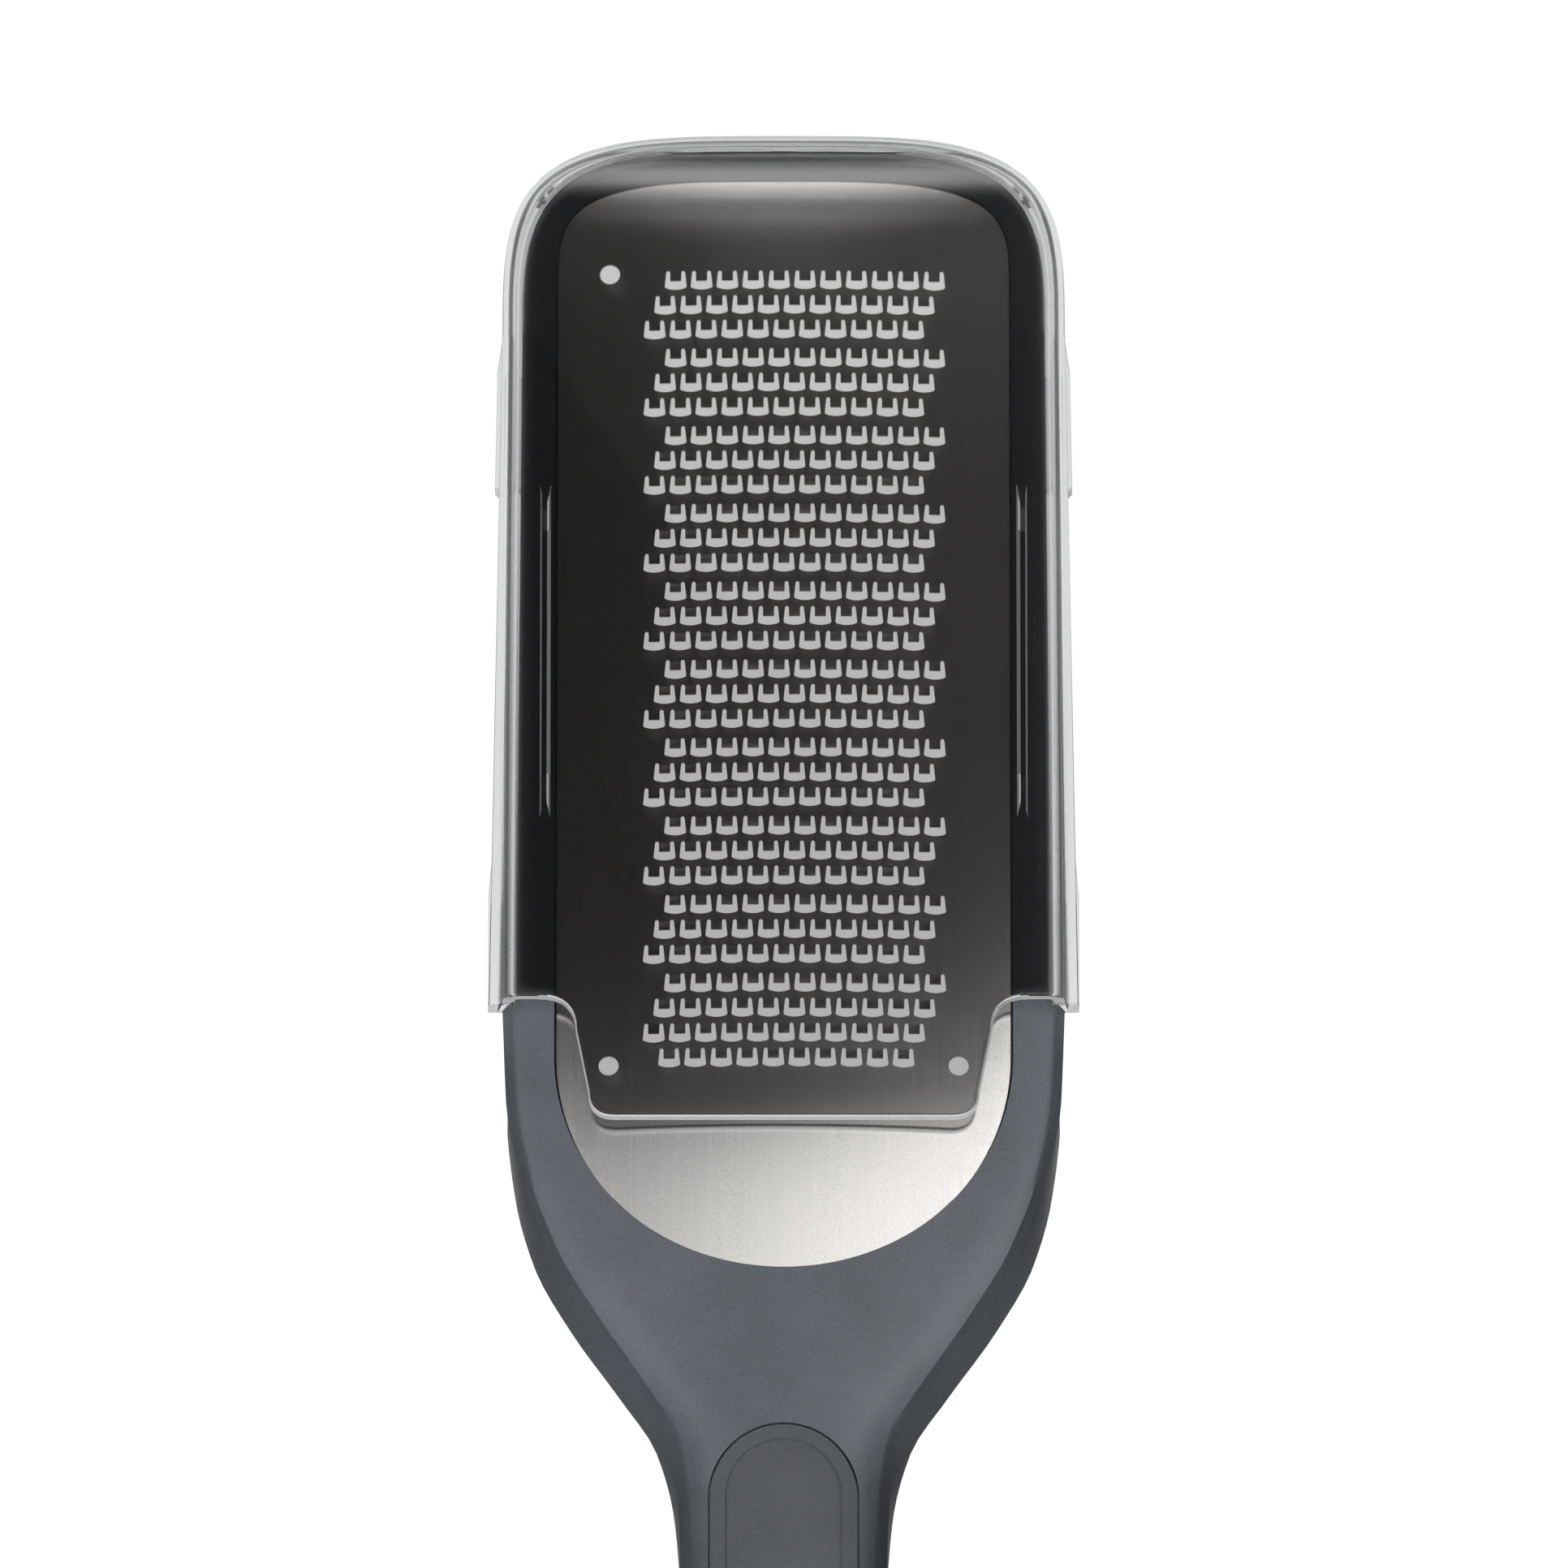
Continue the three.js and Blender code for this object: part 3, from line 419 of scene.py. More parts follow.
def tooth_rows():
    """Height, first place and number of teeth for each row: ten groups of three, and one more row."""
    rows = []
    y = FIRST_ROW_Y
    for group in range(10):
        for row in range(3):
            rows.append((y, FIRST_TOOTH_X + row * ROW_SHIFT, 11))
            y -= ROW_PITCH
        y -= GROUP_GAP
    rows.append((y + GROUP_GAP, FIRST_TOOTH_X + 3 * ROW_SHIFT + TOOTH_PITCH, 10))
    return rows


teeth = [(x0 + i * TOOTH_PITCH, y) for y, x0, count in tooth_rows() for i in range(count)]
last_row_y = teeth[-1][1]
print(len(teeth), "teeth, last row at y =", round(last_row_y, 2), "mm")

# %% [markdown]
# A slot's outline runs from the root of its tongue over one rounded leg end, down the side that widens
# toward the cutting end, along the bowed front, and back up. Only its left half is listed.

# %% Draw the outlines and fill the sheet
TONGUE_HALF = 0.76
ROOT = 1.12  # how far above the slot's middle the tongue hangs on
LEG_RADIUS = 0.26
SLOT_SIDE = [(-1.48, -0.88), (-1.42, -1.03), (-1.12, -1.19), (-0.56, -1.325)]  # below a leg, to the front
INDEX_HOLE_X = 23.65
INDEX_HOLE_RADIUS = 1.36


def slot_outline(x, y):
    """Points from the left root of the tongue round the slot to the right root."""
    leg_x = -TONGUE_HALF - LEG_RADIUS
    left = []
    for degrees in (0, 45, 90, 135, 180):
        angle = radians(degrees)
        left.append((leg_x + LEG_RADIUS * cos(angle), ROOT + LEG_RADIUS * sin(angle)))
    left += SLOT_SIDE
    whole = left + [(0, -1.375)] + [(-px, py) for px, py in reversed(left)]
    return [(x + px, y + py, 0) for px, py in whole]


FOLD = 0.3  # outside radius of the folded edge

sheet = bmesh.new()
drawn = ring(sheet, [(x, y, 0) for x, y in blade_outline(FOLD)])
roots = []
for x, y in teeth:
    slot = ring(sheet, slot_outline(x, y))
    roots.append(slot[-1])
    drawn += slot
round_hole = [pi * i / 14 for i in range(28)]
for side, y in ((-1, FIRST_ROW_Y + 1), (-1, last_row_y - 1), (1, last_row_y - 1)):
    places = [Vector((cos(angle), sin(angle), 0)) for angle in round_hole]
    middle = Vector((side * INDEX_HOLE_X, y, 0))
    drawn += ring(sheet, [middle + INDEX_HOLE_RADIUS * place for place in places])
bmesh.ops.triangle_fill(sheet, edges=drawn, use_beauty=True, use_dissolve=False, normal=(0, 0, 1))
print("filled sheet:", len(sheet.faces), "faces,", len(roots), "tongue roots")

# %% Extrude and lift the tongues
# length, share of width and rise of each step from the root to the free end
TONGUE_STEPS = ((0.62, 1.0, 0.263), (0.70, 1.0, 0.297), (0.125, 0.94, 0.053))

edges = roots
for length, width, rise in TONGUE_STEPS:
    made = bmesh.ops.extrude_edge_only(sheet, edges=edges)["geom"]
    new = {item for item in made if isinstance(item, bmesh.types.BMVert)}
    edges = [item for item in made if isinstance(item, bmesh.types.BMEdge) and new.issuperset(item.verts)]
    for edge in edges:
        middle = (edge.verts[0].co.x + edge.verts[1].co.x) / 2
        for vert in edge.verts:
            vert.co.x = middle + (vert.co.x - middle) * width
            vert.co.y -= length
            vert.co.z += rise
print("sheet with tongues:", len(sheet.faces), "faces")

# %% [markdown]
# The sheet isn't flat. It is arched across its width, which is why its rows look slightly curved. Toward
# the tip the arch flattens and the end bends down, so that a broad strip there catches the light. The
# plain margin is sliced into strips first, so that it has vertices to bend.

# %% Arch the sheet and bend its tip
TEETH_HALF = 20.5
ROW_MARGIN = 1.9
BLADE_TOP = 12.3
CROWN_RADIUS = 330
BEND_LENGTH, BEND_DEPTH = 9, 0.74
FLAT_FROM_TIP, FLAT_LENGTH = 17, 13  # where the arch begins to flatten, and over what length
FLAT_SHARE, FLAT_DEPTH = 0.7, 0.25


def outside_teeth(place):
    beyond_rows = place.y > FIRST_ROW_Y + ROW_MARGIN or place.y < last_row_y - ROW_MARGIN
    return beyond_rows or abs(place.x) > TEETH_HALF


def slice_margin(bm, point, direction):
    margin = [f for f in bm.faces if outside_teeth(f.calc_center_median())]
    edges = {e for f in margin for e in f.edges}
    verts = {v for f in margin for v in f.verts}
    geometry = [*margin, *edges, *verts]
    bmesh.ops.bisect_plane(bm, geom=geometry, plane_co=point, plane_no=direction, dist=0.02)


for x in range(-28, 29, 4):
    slice_margin(sheet, (x, 0, 0), (1, 0, 0))
for y in [BLADE_END_Y + 2.25 + 4 * step for step in range(7)]:
    slice_margin(sheet, (0, y, 0), (0, 1, 0))
for step in range(11):
    slice_margin(sheet, (0, BLADE_TIP_Y - 16.7 + 1.5 * step, 0), (0, 1, 0))
for vert in sheet.verts:
    bend = max(0.0, (vert.co.y - BLADE_TIP_Y) / BEND_LENGTH + 1)
    from_rows = min(1.0, max(0.0, (vert.co.y - BLADE_TIP_Y + FLAT_FROM_TIP) / FLAT_LENGTH))
    flattened = FLAT_SHARE * from_rows**2 * (3 - 2 * from_rows)
    arch = (1 - flattened) * vert.co.x**2 / (2 * CROWN_RADIUS)
    vert.co.z += BLADE_TOP - arch - flattened * FLAT_DEPTH - BEND_DEPTH * bend**2
print("arched sheet:", len(sheet.faces), "faces")

# %% [markdown]
# The edge is folded down all round, which stiffens the sheet and hides its sharp rim in the frame. A
# thickening modifier makes spikes at such a tight fold. So every point of the outside stores its own way
# to the inside, and one extrusion of all faces along these ways gives the sheet its thickness.

# %% Fold the edge down and thicken the sheet
SHEET = 0.3
HEM_Z = 9.3


def boundary_loop(bm):
    """The points round the sheet's outline, from its lowest point."""
    vert = min(bm.verts, key=lambda point: point.co.y)
    loop, edge = [], None
    while vert not in loop[:1]:
        loop.append(vert)
        edge = next(e for e in vert.link_edges if e.is_boundary and e is not edge)
        vert = edge.other_vert(vert)
    return loop


def outward_ways(loop):
    """For each point of a loop, the level direction away from the middle."""
    ways = []
    for before, vert, after in zip(loop[-1:] + loop, loop, loop[1:] + loop[:1]):
        along = after.co - before.co
        way = Vector((along.y, -along.x, 0)).normalized()
        ways.append(way if way.dot(vert.co - Vector((0, 60, vert.co.z))) > 0 else -way)
    return ways


inward = sheet.verts.layers.float_vector.new("inward")
for vert in sheet.verts:
    vert[inward] = (0, 0, -SHEET)
loop = boundary_loop(sheet)
ways = outward_ways(loop)
places = [vert.co.copy() for vert in loop]
for degrees in (30, 60, 90, None):
    border = set(loop)
    edges = [e for e in sheet.edges if e.is_boundary and border.issuperset(e.verts)]
    made = set(bmesh.ops.extrude_edge_only(sheet, edges=edges)["geom"])
    loop = [next(e.other_vert(v) for e in v.link_edges if e.other_vert(v) in made) for v in loop]
    turn = radians(90 if degrees is None else degrees)
    for vert, way, place in zip(loop, ways, places):
        vert.co = place + FOLD * (way * sin(turn) - Vector((0, 0, 1 - cos(turn))))
        vert[inward] = -SHEET * (way * sin(turn) + Vector((0, 0, cos(turn))))
        if degrees is None:
            vert.co.z = HEM_Z
made = bmesh.ops.extrude_face_region(sheet, geom=sheet.faces[:], use_keep_orig=True)["geom"]
for vert in (item for item in made if isinstance(item, bmesh.types.BMVert)):
    vert.co += vert[inward]
bmesh.ops.recalc_face_normals(sheet, faces=sheet.faces)
blade = make_piece("etched_blade", sheet, steel, "grater", "blade", crease=12)

# %% [markdown]
# The brushing direction comes from a flat UV map. U runs across the blade, the way in which the streaks
# spread a reflection.

# %% Flat map for the brushing
flat_map = blade.data.uv_layers.new(name="brushing")
for corner, loop in zip(flat_map.data, blade.data.loops):
    place = blade.data.vertices[loop.vertex_index].co
    corner.uv = (place.x * 5, place.y * 5)
print("brushing map on", len(flat_map.data), "corners")

# %% [markdown]
# ## Front shell of frame and handle
#
# The front shell flows from a flat ring round the blade over a waisted neck into an arched grip. A subdivided
# cage could follow that loosely, but the outline is measured, so the shell is lofted from cross-sections.
# Each one is set by four numbers: half-width, half-width of the front, and the heights of edge and crest.
# Between measured places these are blended by a curve that doesn't overshoot.


# %% Blending between measured places
def blend(table, place):
    """The value at a place of a rising table, on a smooth curve that doesn't overshoot."""
    places, values = zip(*table)
    if place <= places[0]:
        return values[0]
    if place >= places[-1]:
        return values[-1]
    slopes = [(after - before) / (b - a) for (a, before), (b, after) in zip(table, table[1:])]
    leaning = [slopes[0]]
    for before, after in zip(slopes, slopes[1:]):
        leaning.append(2 * before * after / (before + after) if before * after > 0 else 0.0)
    leaning.append(slopes[-1])
    i = max(k for k in range(len(table) - 1) if places[k] <= place)
    span = places[i + 1] - places[i]
    t = (place - places[i]) / span
    start = (1 + 2 * t) * (1 - t) ** 2 * values[i] + t * (1 - t) ** 2 * span * leaning[i]
    end = t * t * (3 - 2 * t) * values[i + 1] + t * t * (t - 1) * span * leaning[i + 1]
    return start + end


print("halfway between 0 and 1:", blend([(0, 0), (1, 1)], 0.5))

# %% Sizes of the frame from tip to handle
FRAME_GAP = 1.85  # cover's outside to the frame
FRAME_TIP_Y = TIP_Y - FRAME_GAP
ARM_HALF = 38.05  # half-width across the arms, where they come out of the cover
PARTING = 9.0
FRONT_BOTTOM = 9.05
FRAME_TOP = 11.8
FRONT_DROP, FRONT_DROP_LENGTH = 1.9, 10  # how far the front slopes down at the tip
EDGE_SLOPE = 1.9  # width of the front's sloped outer edge
RING_GAP, RING_WIDENING = 2.2, 0.5
WAIST_Y, WAIST_HALF, WAIST_TOP = -62.0, 13.9, 19.6
SIDE_TOP = 15.6  # height where the grip's side turns into its front
GRIP_SIDE = 2.7  # width of the grip's sloped side
END_Y, END_ROUND, END_HALF, END_TOP = -145.0, 17.0, 15.0, 19.0
# places from waist (0) to head (1): share of the widening, width of the side's slope, and how much of that
# slope lies below the parting
WIDENING = [(0, 0), (0.12, 0.035), (0.24, 0.137), (0.34, 0.348), (0.456, 0.613), (0.572, 0.82)]
WIDENING += [(0.687, 0.923), (0.82, 0.975), (1, 1)]
SIDE_SLOPE = [(0, 2.7), (0.12, 3.4), (0.24, 4.9), (0.34, 5.8), (0.456, 6.2), (0.572, 5.6), (0.687, 3.9)]
SIDE_SLOPE += [(0.82, 2.4), (1, 1.9)]
LEAN = [(0, 0), (0.12, 0.6), (0.24, 1.6), (0.34, 2.2), (0.456, 2.5), (0.572, 2.2), (0.687, 1.2), (0.82, 0)]
GRIP_HALF = [(-128, END_HALF), (-98, 15.0), (-80, 14.55), (WAIST_Y, WAIST_HALF)]
GRIP_CREST = [(-128, END_TOP), (-98, 20.8), (-80, 20.5), (WAIST_Y, WAIST_TOP)]


def ring_half_width(y):
    """Half-width of the ring under the cover, narrower than the arms to leave room for the walls."""
    corner_half = head_half_width(CORNER_Y)
    return corner_half - RING_GAP + RING_WIDENING * (head_half_width(y) - corner_half)


def tip_half_width(y, inset):
    """Half-width of the frame's rounded tip, moved inward, at a height y."""
    along = min(1.0, (y - CORNER_Y) / (FRAME_TIP_Y - inset - CORNER_Y))
    return (ring_half_width(CORNER_Y) - inset) * (1 - along**HEAD_POWER) ** (1 / HEAD_POWER)


def mix(a, b, share):
    return a + (b - a) * share


def along_neck(y):
    return (y - WAIST_Y) / (SHOULDER_Y - WAIST_Y)


def side_lean(y):
    """How far the side leans in between its widest place and the parting."""
    return blend(LEAN, along_neck(y)) if WAIST_Y < y < SHOULDER_Y else 0.0


def front_station(y):
    """Half-width, half-width of the front, edge height and crest height of the front shell."""
    if y > SHOULDER_Y:
        along = max(0.0, (y - FRAME_TIP_Y) / FRONT_DROP_LENGTH + 1)
        top = FRAME_TOP - FRONT_DROP * along * along
        if y < CORNER_Y:
            half = ring_half_width(y)
            return half, half - EDGE_SLOPE, top, top
        half = tip_half_width(y, 0)
        from_tip = min(1.0, (FRAME_TIP_Y - y) / EDGE_SLOPE)
        top = mix(FRONT_BOTTOM, top, 1 - (1 - from_tip) ** 1.3)
        return half, max(tip_half_width(y, EDGE_SLOPE), 0.3 * half), top, top
    if y > WAIST_Y:
        along = along_neck(y)
        half = mix(WAIST_HALF, ARM_HALF, blend(WIDENING, along))
        rise = (1 - along) ** 1.5
        inner = half - blend(SIDE_SLOPE, along)
        return half, inner, mix(FRAME_TOP, SIDE_TOP, rise), mix(FRAME_TOP, WAIST_TOP, rise)
    if y > END_Y + END_ROUND:
        half = blend(GRIP_HALF, y)
        return half, half - GRIP_SIDE, SIDE_TOP, blend(GRIP_CREST, y)
    turn = asin(min(1.0, (END_Y + END_ROUND - y) / END_ROUND) * sin(radians(87)))
    full = sqrt(cos(turn))
    half = END_HALF * cos(turn)
    inner = half - GRIP_SIDE * cos(turn)
    return half, inner, mix(FRONT_BOTTOM, SIDE_TOP, full), mix(FRONT_BOTTOM, END_TOP, full)


print("waist:", [round(v, 2) for v in front_station(WAIST_Y)])

# %% [markdown]
# A section rises from the parting line up a steep side, turns over a rounded edge and arches over the front.
# The two curves meet on one tangent, so no crease shows. Sections lie close together where the tip and the
# handle's end turn in.

# %% Sections of the front shell
TIP_STEPS = [0.02, 0.06, 0.14, 0.27, 0.45, 0.7, 1.0, 1.4, 1.9, 2.5, 3.3, 4.4, 6, 8, 10.5, 13.5]
TIP_STEPS += [17, 21, 25, 28.55]  # millimetres from the tip
END_TURNS = (0, 15, 28, 40, 50, 59, 67, 74, 80, 85, 89)  # degrees round the handle's end
EDGE_START = (0.55, 0.62)  # shares of the way in and up a side, where the rounded edge begins
EDGE_END = (0.86, 0.28)  # shares of the front's width and rise, where it ends


def curve(start, pull, end, steps):
    """Points of a quadratic curve after its start."""
    points = []
    for i in range(1, steps + 1):
        t = i / steps
        points.append(tuple(mix(mix(a, b, t), mix(b, c, t), t) for a, b, c in zip(start, pull, end)))
    return points


def front_section(y, lowered=0.0):
    half, inner, side, crest = front_station(y)
    edge_start = (mix(half, inner, EDGE_START[0]), mix(FRONT_BOTTOM, side, EDGE_START[1]))
    edge_end = (EDGE_END[0] * inner, mix(side, crest, EDGE_END[1]))
    low = (half - side_lean(y), FRONT_BOTTOM)
    right = [low, (mix(low[0], edge_start[0], 0.5), mix(low[1], edge_start[1], 0.5)), edge_start]
    right += curve(edge_start, (inner, side), edge_end, 8)
    right += curve(edge_end, (inner / 2, crest), (0, crest), 8)
    return [(x, y, z - lowered) for x, z in both_sides(right)]


def frame_places(tip_y):
    """Where the sections of a shell are, from its tip to the handle."""
    places = [tip_y - step for step in TIP_STEPS]
    places += [90, 60, 35, SHOULDER_Y + 1.3]
    places += [SHOULDER_Y - 2.2 * i for i in range(37)]
    places += [WAIST_Y - 5.5 * i for i in range(1, 12)]
    places += [END_Y + END_ROUND * (1 - sin(radians(turn))) for turn in END_TURNS]
    return places


def front_skin(lowered=0.0):
    return loft([front_section(y, lowered) for y in frame_places(FRAME_TIP_Y)])


skin = front_skin()
print("front skin:", len(skin.faces), "faces")

# %% [markdown]
# Three openings go through the shell: the seat of the blade, the pocket for the thumb inlay and the hanging
# hole at the handle's end. A little air stays around what sits in it, which shows as a fine dark seam.


# %% Cut the front shell
def round_ended(half_width, low_y, high_y, steps=24):
    """Outline with round ends, as the inlays and the hanging hole have."""
    points = []
    for centre, start in ((high_y - half_width, 0), (low_y + half_width, pi)):
        for i in range(steps + 1):
            angle = start + pi * i / steps
            points.append((half_width * cos(angle), centre + half_width * sin(angle)))
    return points


FIT = 0.3  # air round an inlay
BLADE_SEAM = 0.12
HANGING_HOLE = (4.5, -139.0, -125.0)  # half-width, low and high end
THUMB_POCKET = (10.2, -112.4, -42.4)
THUMB_FLOOR = 14

skin = carve(skin, slab(blade_outline(-BLADE_SEAM)))
skin = carve(skin, slab(round_ended(*THUMB_POCKET), low=THUMB_FLOOR))
skin = carve(skin, slab(round_ended(*HANGING_HOLE)))
make_piece("front_shell", skin, front_grey, "grater", "front_frame")

# %% [markdown]
# ## Back shell
#
# The back shell closes frame and handle from below. Its ring is set in from the front shell's edge, which
# leaves room for the cover's hooks, and it carries the blade's hem on a ledge. It lies flat on the table.

# %% Sections of the back shell
BACK_INSET = 2.8
RING_EDGE, GRIP_EDGE = 1.4, 6.0  # rounding along the lower edge
NARROWING = 0.82  # place along the neck where the shell begins to narrow toward its ring


def back_section(y):
    half = front_station(y)[0]
    floor, edge = 0.0, RING_EDGE
    if y > CORNER_Y:
        half = tip_half_width(y, BACK_INSET)
    elif y > SHOULDER_Y:
        half -= BACK_INSET
    elif y > WAIST_Y:
        along = along_neck(y)
        narrowed = max(0.0, (along - NARROWING) / (1 - NARROWING))
        half -= (ARM_HALF - ring_half_width(SHOULDER_Y) + BACK_INSET) * narrowed
        edge = mix(GRIP_EDGE, RING_EDGE, along)
    else:
        edge = GRIP_EDGE * min(1.0, half / END_HALF)
        if y < END_Y + END_ROUND:
            floor = PARTING * (1 - sqrt(half / END_HALF))
    tall = edge * (1 - floor / PARTING)
    wide = min(edge, 0.8 * half)
    right = [(half - side_lean(y), PARTING)]
    for i in range(9):
        angle = pi / 2 * i / 8
        right.append((half - wide * (1 - cos(angle)), floor + tall * (1 - sin(angle))))
    return [(x, y, z) for x, z in right + [(-x, z) for x, z in reversed(right)]]


back = loft([back_section(y) for y in frame_places(FRAME_TIP_Y - BACK_INSET)])
print("back skin:", len(back.faces), "faces")

# %% [markdown]
# From below, the shell is open under the blade so that grated food falls through. Shallow pockets take the
# finger inlay and the foot at the tip. The foot's pocket follows the tip, so its outline is a strip between
# two lines of the same soft square.


# %% Cut the back shell
def tip_line(inset, half_length, steps=32):
    """Points across the tip, from right to left, at an inset from the cover's outline."""
    length = TIP_Y - inset - CORNER_Y
    half_width = head_half_width(CORNER_Y) - inset
    points = []
    for i in range(steps + 1):
        x = half_length * (1 - 2 * i / steps)
        points.append((x, CORNER_Y + length * (1 - abs(x / half_width) ** HEAD_POWER) ** (1 / HEAD_POWER)))
    return points


def tip_strip(outer, inner, half_length):
    return tip_line(outer, half_length) + tip_line(inner, half_length)[::-1]


LEDGE = 2.3  # width of the shelf under the blade's edge
FINGER_POCKET = (6.4, -106.4, -48.4)
FINGER_DEPTH = 1.3
FOOT_BACK = FRAME_GAP + BACK_INSET + 1.5  # inset of the foot's pocket
FOOT_HALF, FOOT_TOP, FOOT_PROUD = 22, 6, 0.7

back = carve(back, slab(blade_outline(LEDGE)))
back = carve(back, slab(round_ended(*FINGER_POCKET), high=FINGER_DEPTH))
back = carve(back, slab(tip_strip(FRAME_GAP, FOOT_BACK, FOOT_HALF), high=FOOT_TOP))
back = carve(back, slab(round_ended(*HANGING_HOLE)))
make_piece("back_shell", back, back_grey, "grater", "back_frame")

# %% [markdown]
# ## Soft inlays
#
# The thumb inlay fills its pocket up to the handle's own arch and is dished inside a border, so the same
# skin trims it. The finger inlay and the foot are plain pads with softened edges.


# %% Thumb inlay
THUMB_TOP = 20.3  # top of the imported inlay
DISH_BORDER, DISH_DEPTH = 2.05, 0.5


def shrunk(pocket, gap):
    half_width, low_y, high_y = pocket
    return round_ended(half_width - gap, low_y + gap, high_y - gap)


pad = carve(slab(shrunk(THUMB_POCKET, FIT), THUMB_FLOOR + FIT, THUMB_TOP), front_skin(), "INTERSECT")
dish = carve(slab(shrunk(THUMB_POCKET, FIT + DISH_BORDER), low=THUMB_FLOOR), front_skin(DISH_DEPTH))
make_piece("thumb_pad", carve(pad, dish), inlay_grey, "grater", "thumb_inlay")


# %% Finger inlay and foot
def soften(bm, edges, radius):
    bmesh.ops.bevel(bm, geom=edges, offset=radius, segments=3, profile=0.5, affect="EDGES", material=-1)


finger_pad = slab(shrunk(FINGER_POCKET, FIT), 0, FINGER_DEPTH - FIT)
soften(finger_pad, [e for e in finger_pad.edges if all(v.co.z < 0.01 for v in e.verts)], 0.35)
make_piece("finger_pad", finger_pad, inlay_grey, "grater", "finger_inlay")

foot_plan = tip_strip(FRAME_GAP + BACK_INSET - FOOT_PROUD, FOOT_BACK - FIT, FOOT_HALF - FIT)
foot_pad = slab(foot_plan, 0, FOOT_TOP - FIT)
soften(foot_pad, [e for e in foot_pad.edges if e.calc_face_angle(0) > 1], 0.4)
make_piece("tip_foot_pad", foot_pad, inlay_grey, "grater", "tip_foot")

# %% [markdown]
# ## Cover
#
# The cover is a shallow tray turned over: a flat front with a rounded edge, and low walls on three sides
# whose lower part stands out like a rail. Front and walls differ in thickness, so no modifier thickens a
# surface here. The cover is the outside body less its hollow, like the mould's two halves.

# %% Outside and hollow of the cover
COVER_TOP = 15.4
CEILING = 13.4
WALL = 1.5
WALL_BOTTOM = 8.0
RAIL_TOP = 11.4
RAIL_WIDTH = 0.9  # how far the rail stands out
EDGE_RADIUS, HOLLOW_RADIUS = 2.4, 0.9
EDGE_WIDENING = 0.4  # share of the walls' widening that the rounded edge follows
TAB_END_Y = SHOULDER_Y - 17.3
STEP_SHARE = 0.55  # share of the height between rail and rounded edge that the step takes up


def cover_body(inset, top, low, radius, end_y):
    """A body with the head's outline: a rail along its lower part and a rounded upper edge."""
    layers = [(0, 0, low)]
    for i in range(7):
        ease = (i / 6) ** 2 * (3 - i / 3)
        layers.append((ease, 0, mix(RAIL_TOP, top - radius, STEP_SHARE * i / 6)))
    for i in range(1, 11):
        angle = pi / 20 * i
        layers.append((1, radius * (1 - cos(angle)), top - radius + radius * sin(angle)))
    sections = []
    for ease, rounding, z in layers:
        outline = head_outline(inset + RAIL_WIDTH * ease + rounding, end_y, mix(1, EDGE_WIDENING, ease))
        sections.append([(x, y, z) for x, y in outline])
    return loft(sections)


cover = cover_body(0, COVER_TOP, WALL_BOTTOM, EDGE_RADIUS, TAB_END_Y - 2)
cover = carve(cover, cover_body(WALL, CEILING, -20, HOLLOW_RADIUS, TAB_END_Y - 4))
print("tray:", len(cover.faces), "faces")

# %% [markdown]
# Lugs thicken the rail where hooks grip under the frame, and two ribs inside keep the front off the teeth.
# Each is a block, joined to the tray by a Boolean. A chamfer at a rib's root is a pale white, a painted
# highlight that shows through the front as a light line.

# %% Lugs and hooks
HOOK_REACH = 1.5
UPPER_LUG = [(93.4, 0.0), (94.0, 0.6), (110.4, 0.6), (115.3, 0.0)]  # places and how far the wall stands out
LOWER_LUG = [(SHOULDER_Y - 2, 0.1), (SHOULDER_Y, 0.1), (34.6, 0.35), (39.8, 0.0)]


def along_wall(side, half_width, reach, bumps, high):
    """A block along one wall, from a reach inside a half-width out to the wall plus a bump at each place."""
    outer = [(side * (head_half_width(y) + bump), y) for y, bump in bumps]
    inner = [(side * (half_width(y) - reach), y) for y, _ in bumps]
    return slab(outer + inner[::-1], WALL_BOTTOM, high)


for side in (1, -1):
    for lug in (UPPER_LUG, LOWER_LUG):
        hook = [(y, -WALL / 2) for y, _ in lug[1:3]]
        cover = carve(cover, along_wall(side, head_half_width, WALL / 2, lug, RAIL_TOP), "UNION")
        cover = carve(cover, along_wall(side, ring_half_width, HOOK_REACH, hook, PARTING), "UNION")
print("with lugs and hooks:", len(cover.faces), "faces")

# %% Ribs with sloped ends
RIB_LOW_Y, RIB_HIGH_Y = 45, 93.2
RIB_RAMP = 6.4  # length of each sloped end
RIB_DEPTH = 1.3
# places across a rib, and its depth there
RIB = [(31.62, 0.02), (32.12, 0.52), (32.14, RIB_DEPTH), (32.8, RIB_DEPTH), (32.82, 0.25), (33.05, 0.02)]
LEVEL_RIB = (RIB_LOW_Y + RIB_RAMP + 0.1, RIB_HIGH_Y - RIB_RAMP - 0.1)


def rib_section(x, depth):
    """A rib's outline at a place across it."""
    slope = RIB_RAMP * depth / RIB_DEPTH
    low = [(y, CEILING - depth) for y in (RIB_LOW_Y + slope, *LEVEL_RIB, RIB_HIGH_Y - slope)]
    start = [(RIB_LOW_Y, CEILING + 1), (RIB_LOW_Y, CEILING)]
    end = [(RIB_HIGH_Y, CEILING), (RIB_HIGH_Y, CEILING + 1)]
    return [(x, y, z) for y, z in start + low + end]


for side in (1, -1):
    cover = carve(cover, loft([rib_section(side * x, depth) for x, depth in RIB]), "UNION")
print("with ribs:", len(cover.faces), "faces")

# %% [markdown]
# One cut trims the plan, which leaves the finger tab. Moulded edges are never sharp, so the cut is softened.

# %% Trim the plan and soften the tab
TAB_END_HALF, TAB_CORNER = 26.4, 3.6
TAB_ROOT_HALF, TAB_HOLLOW = 28.1, 5

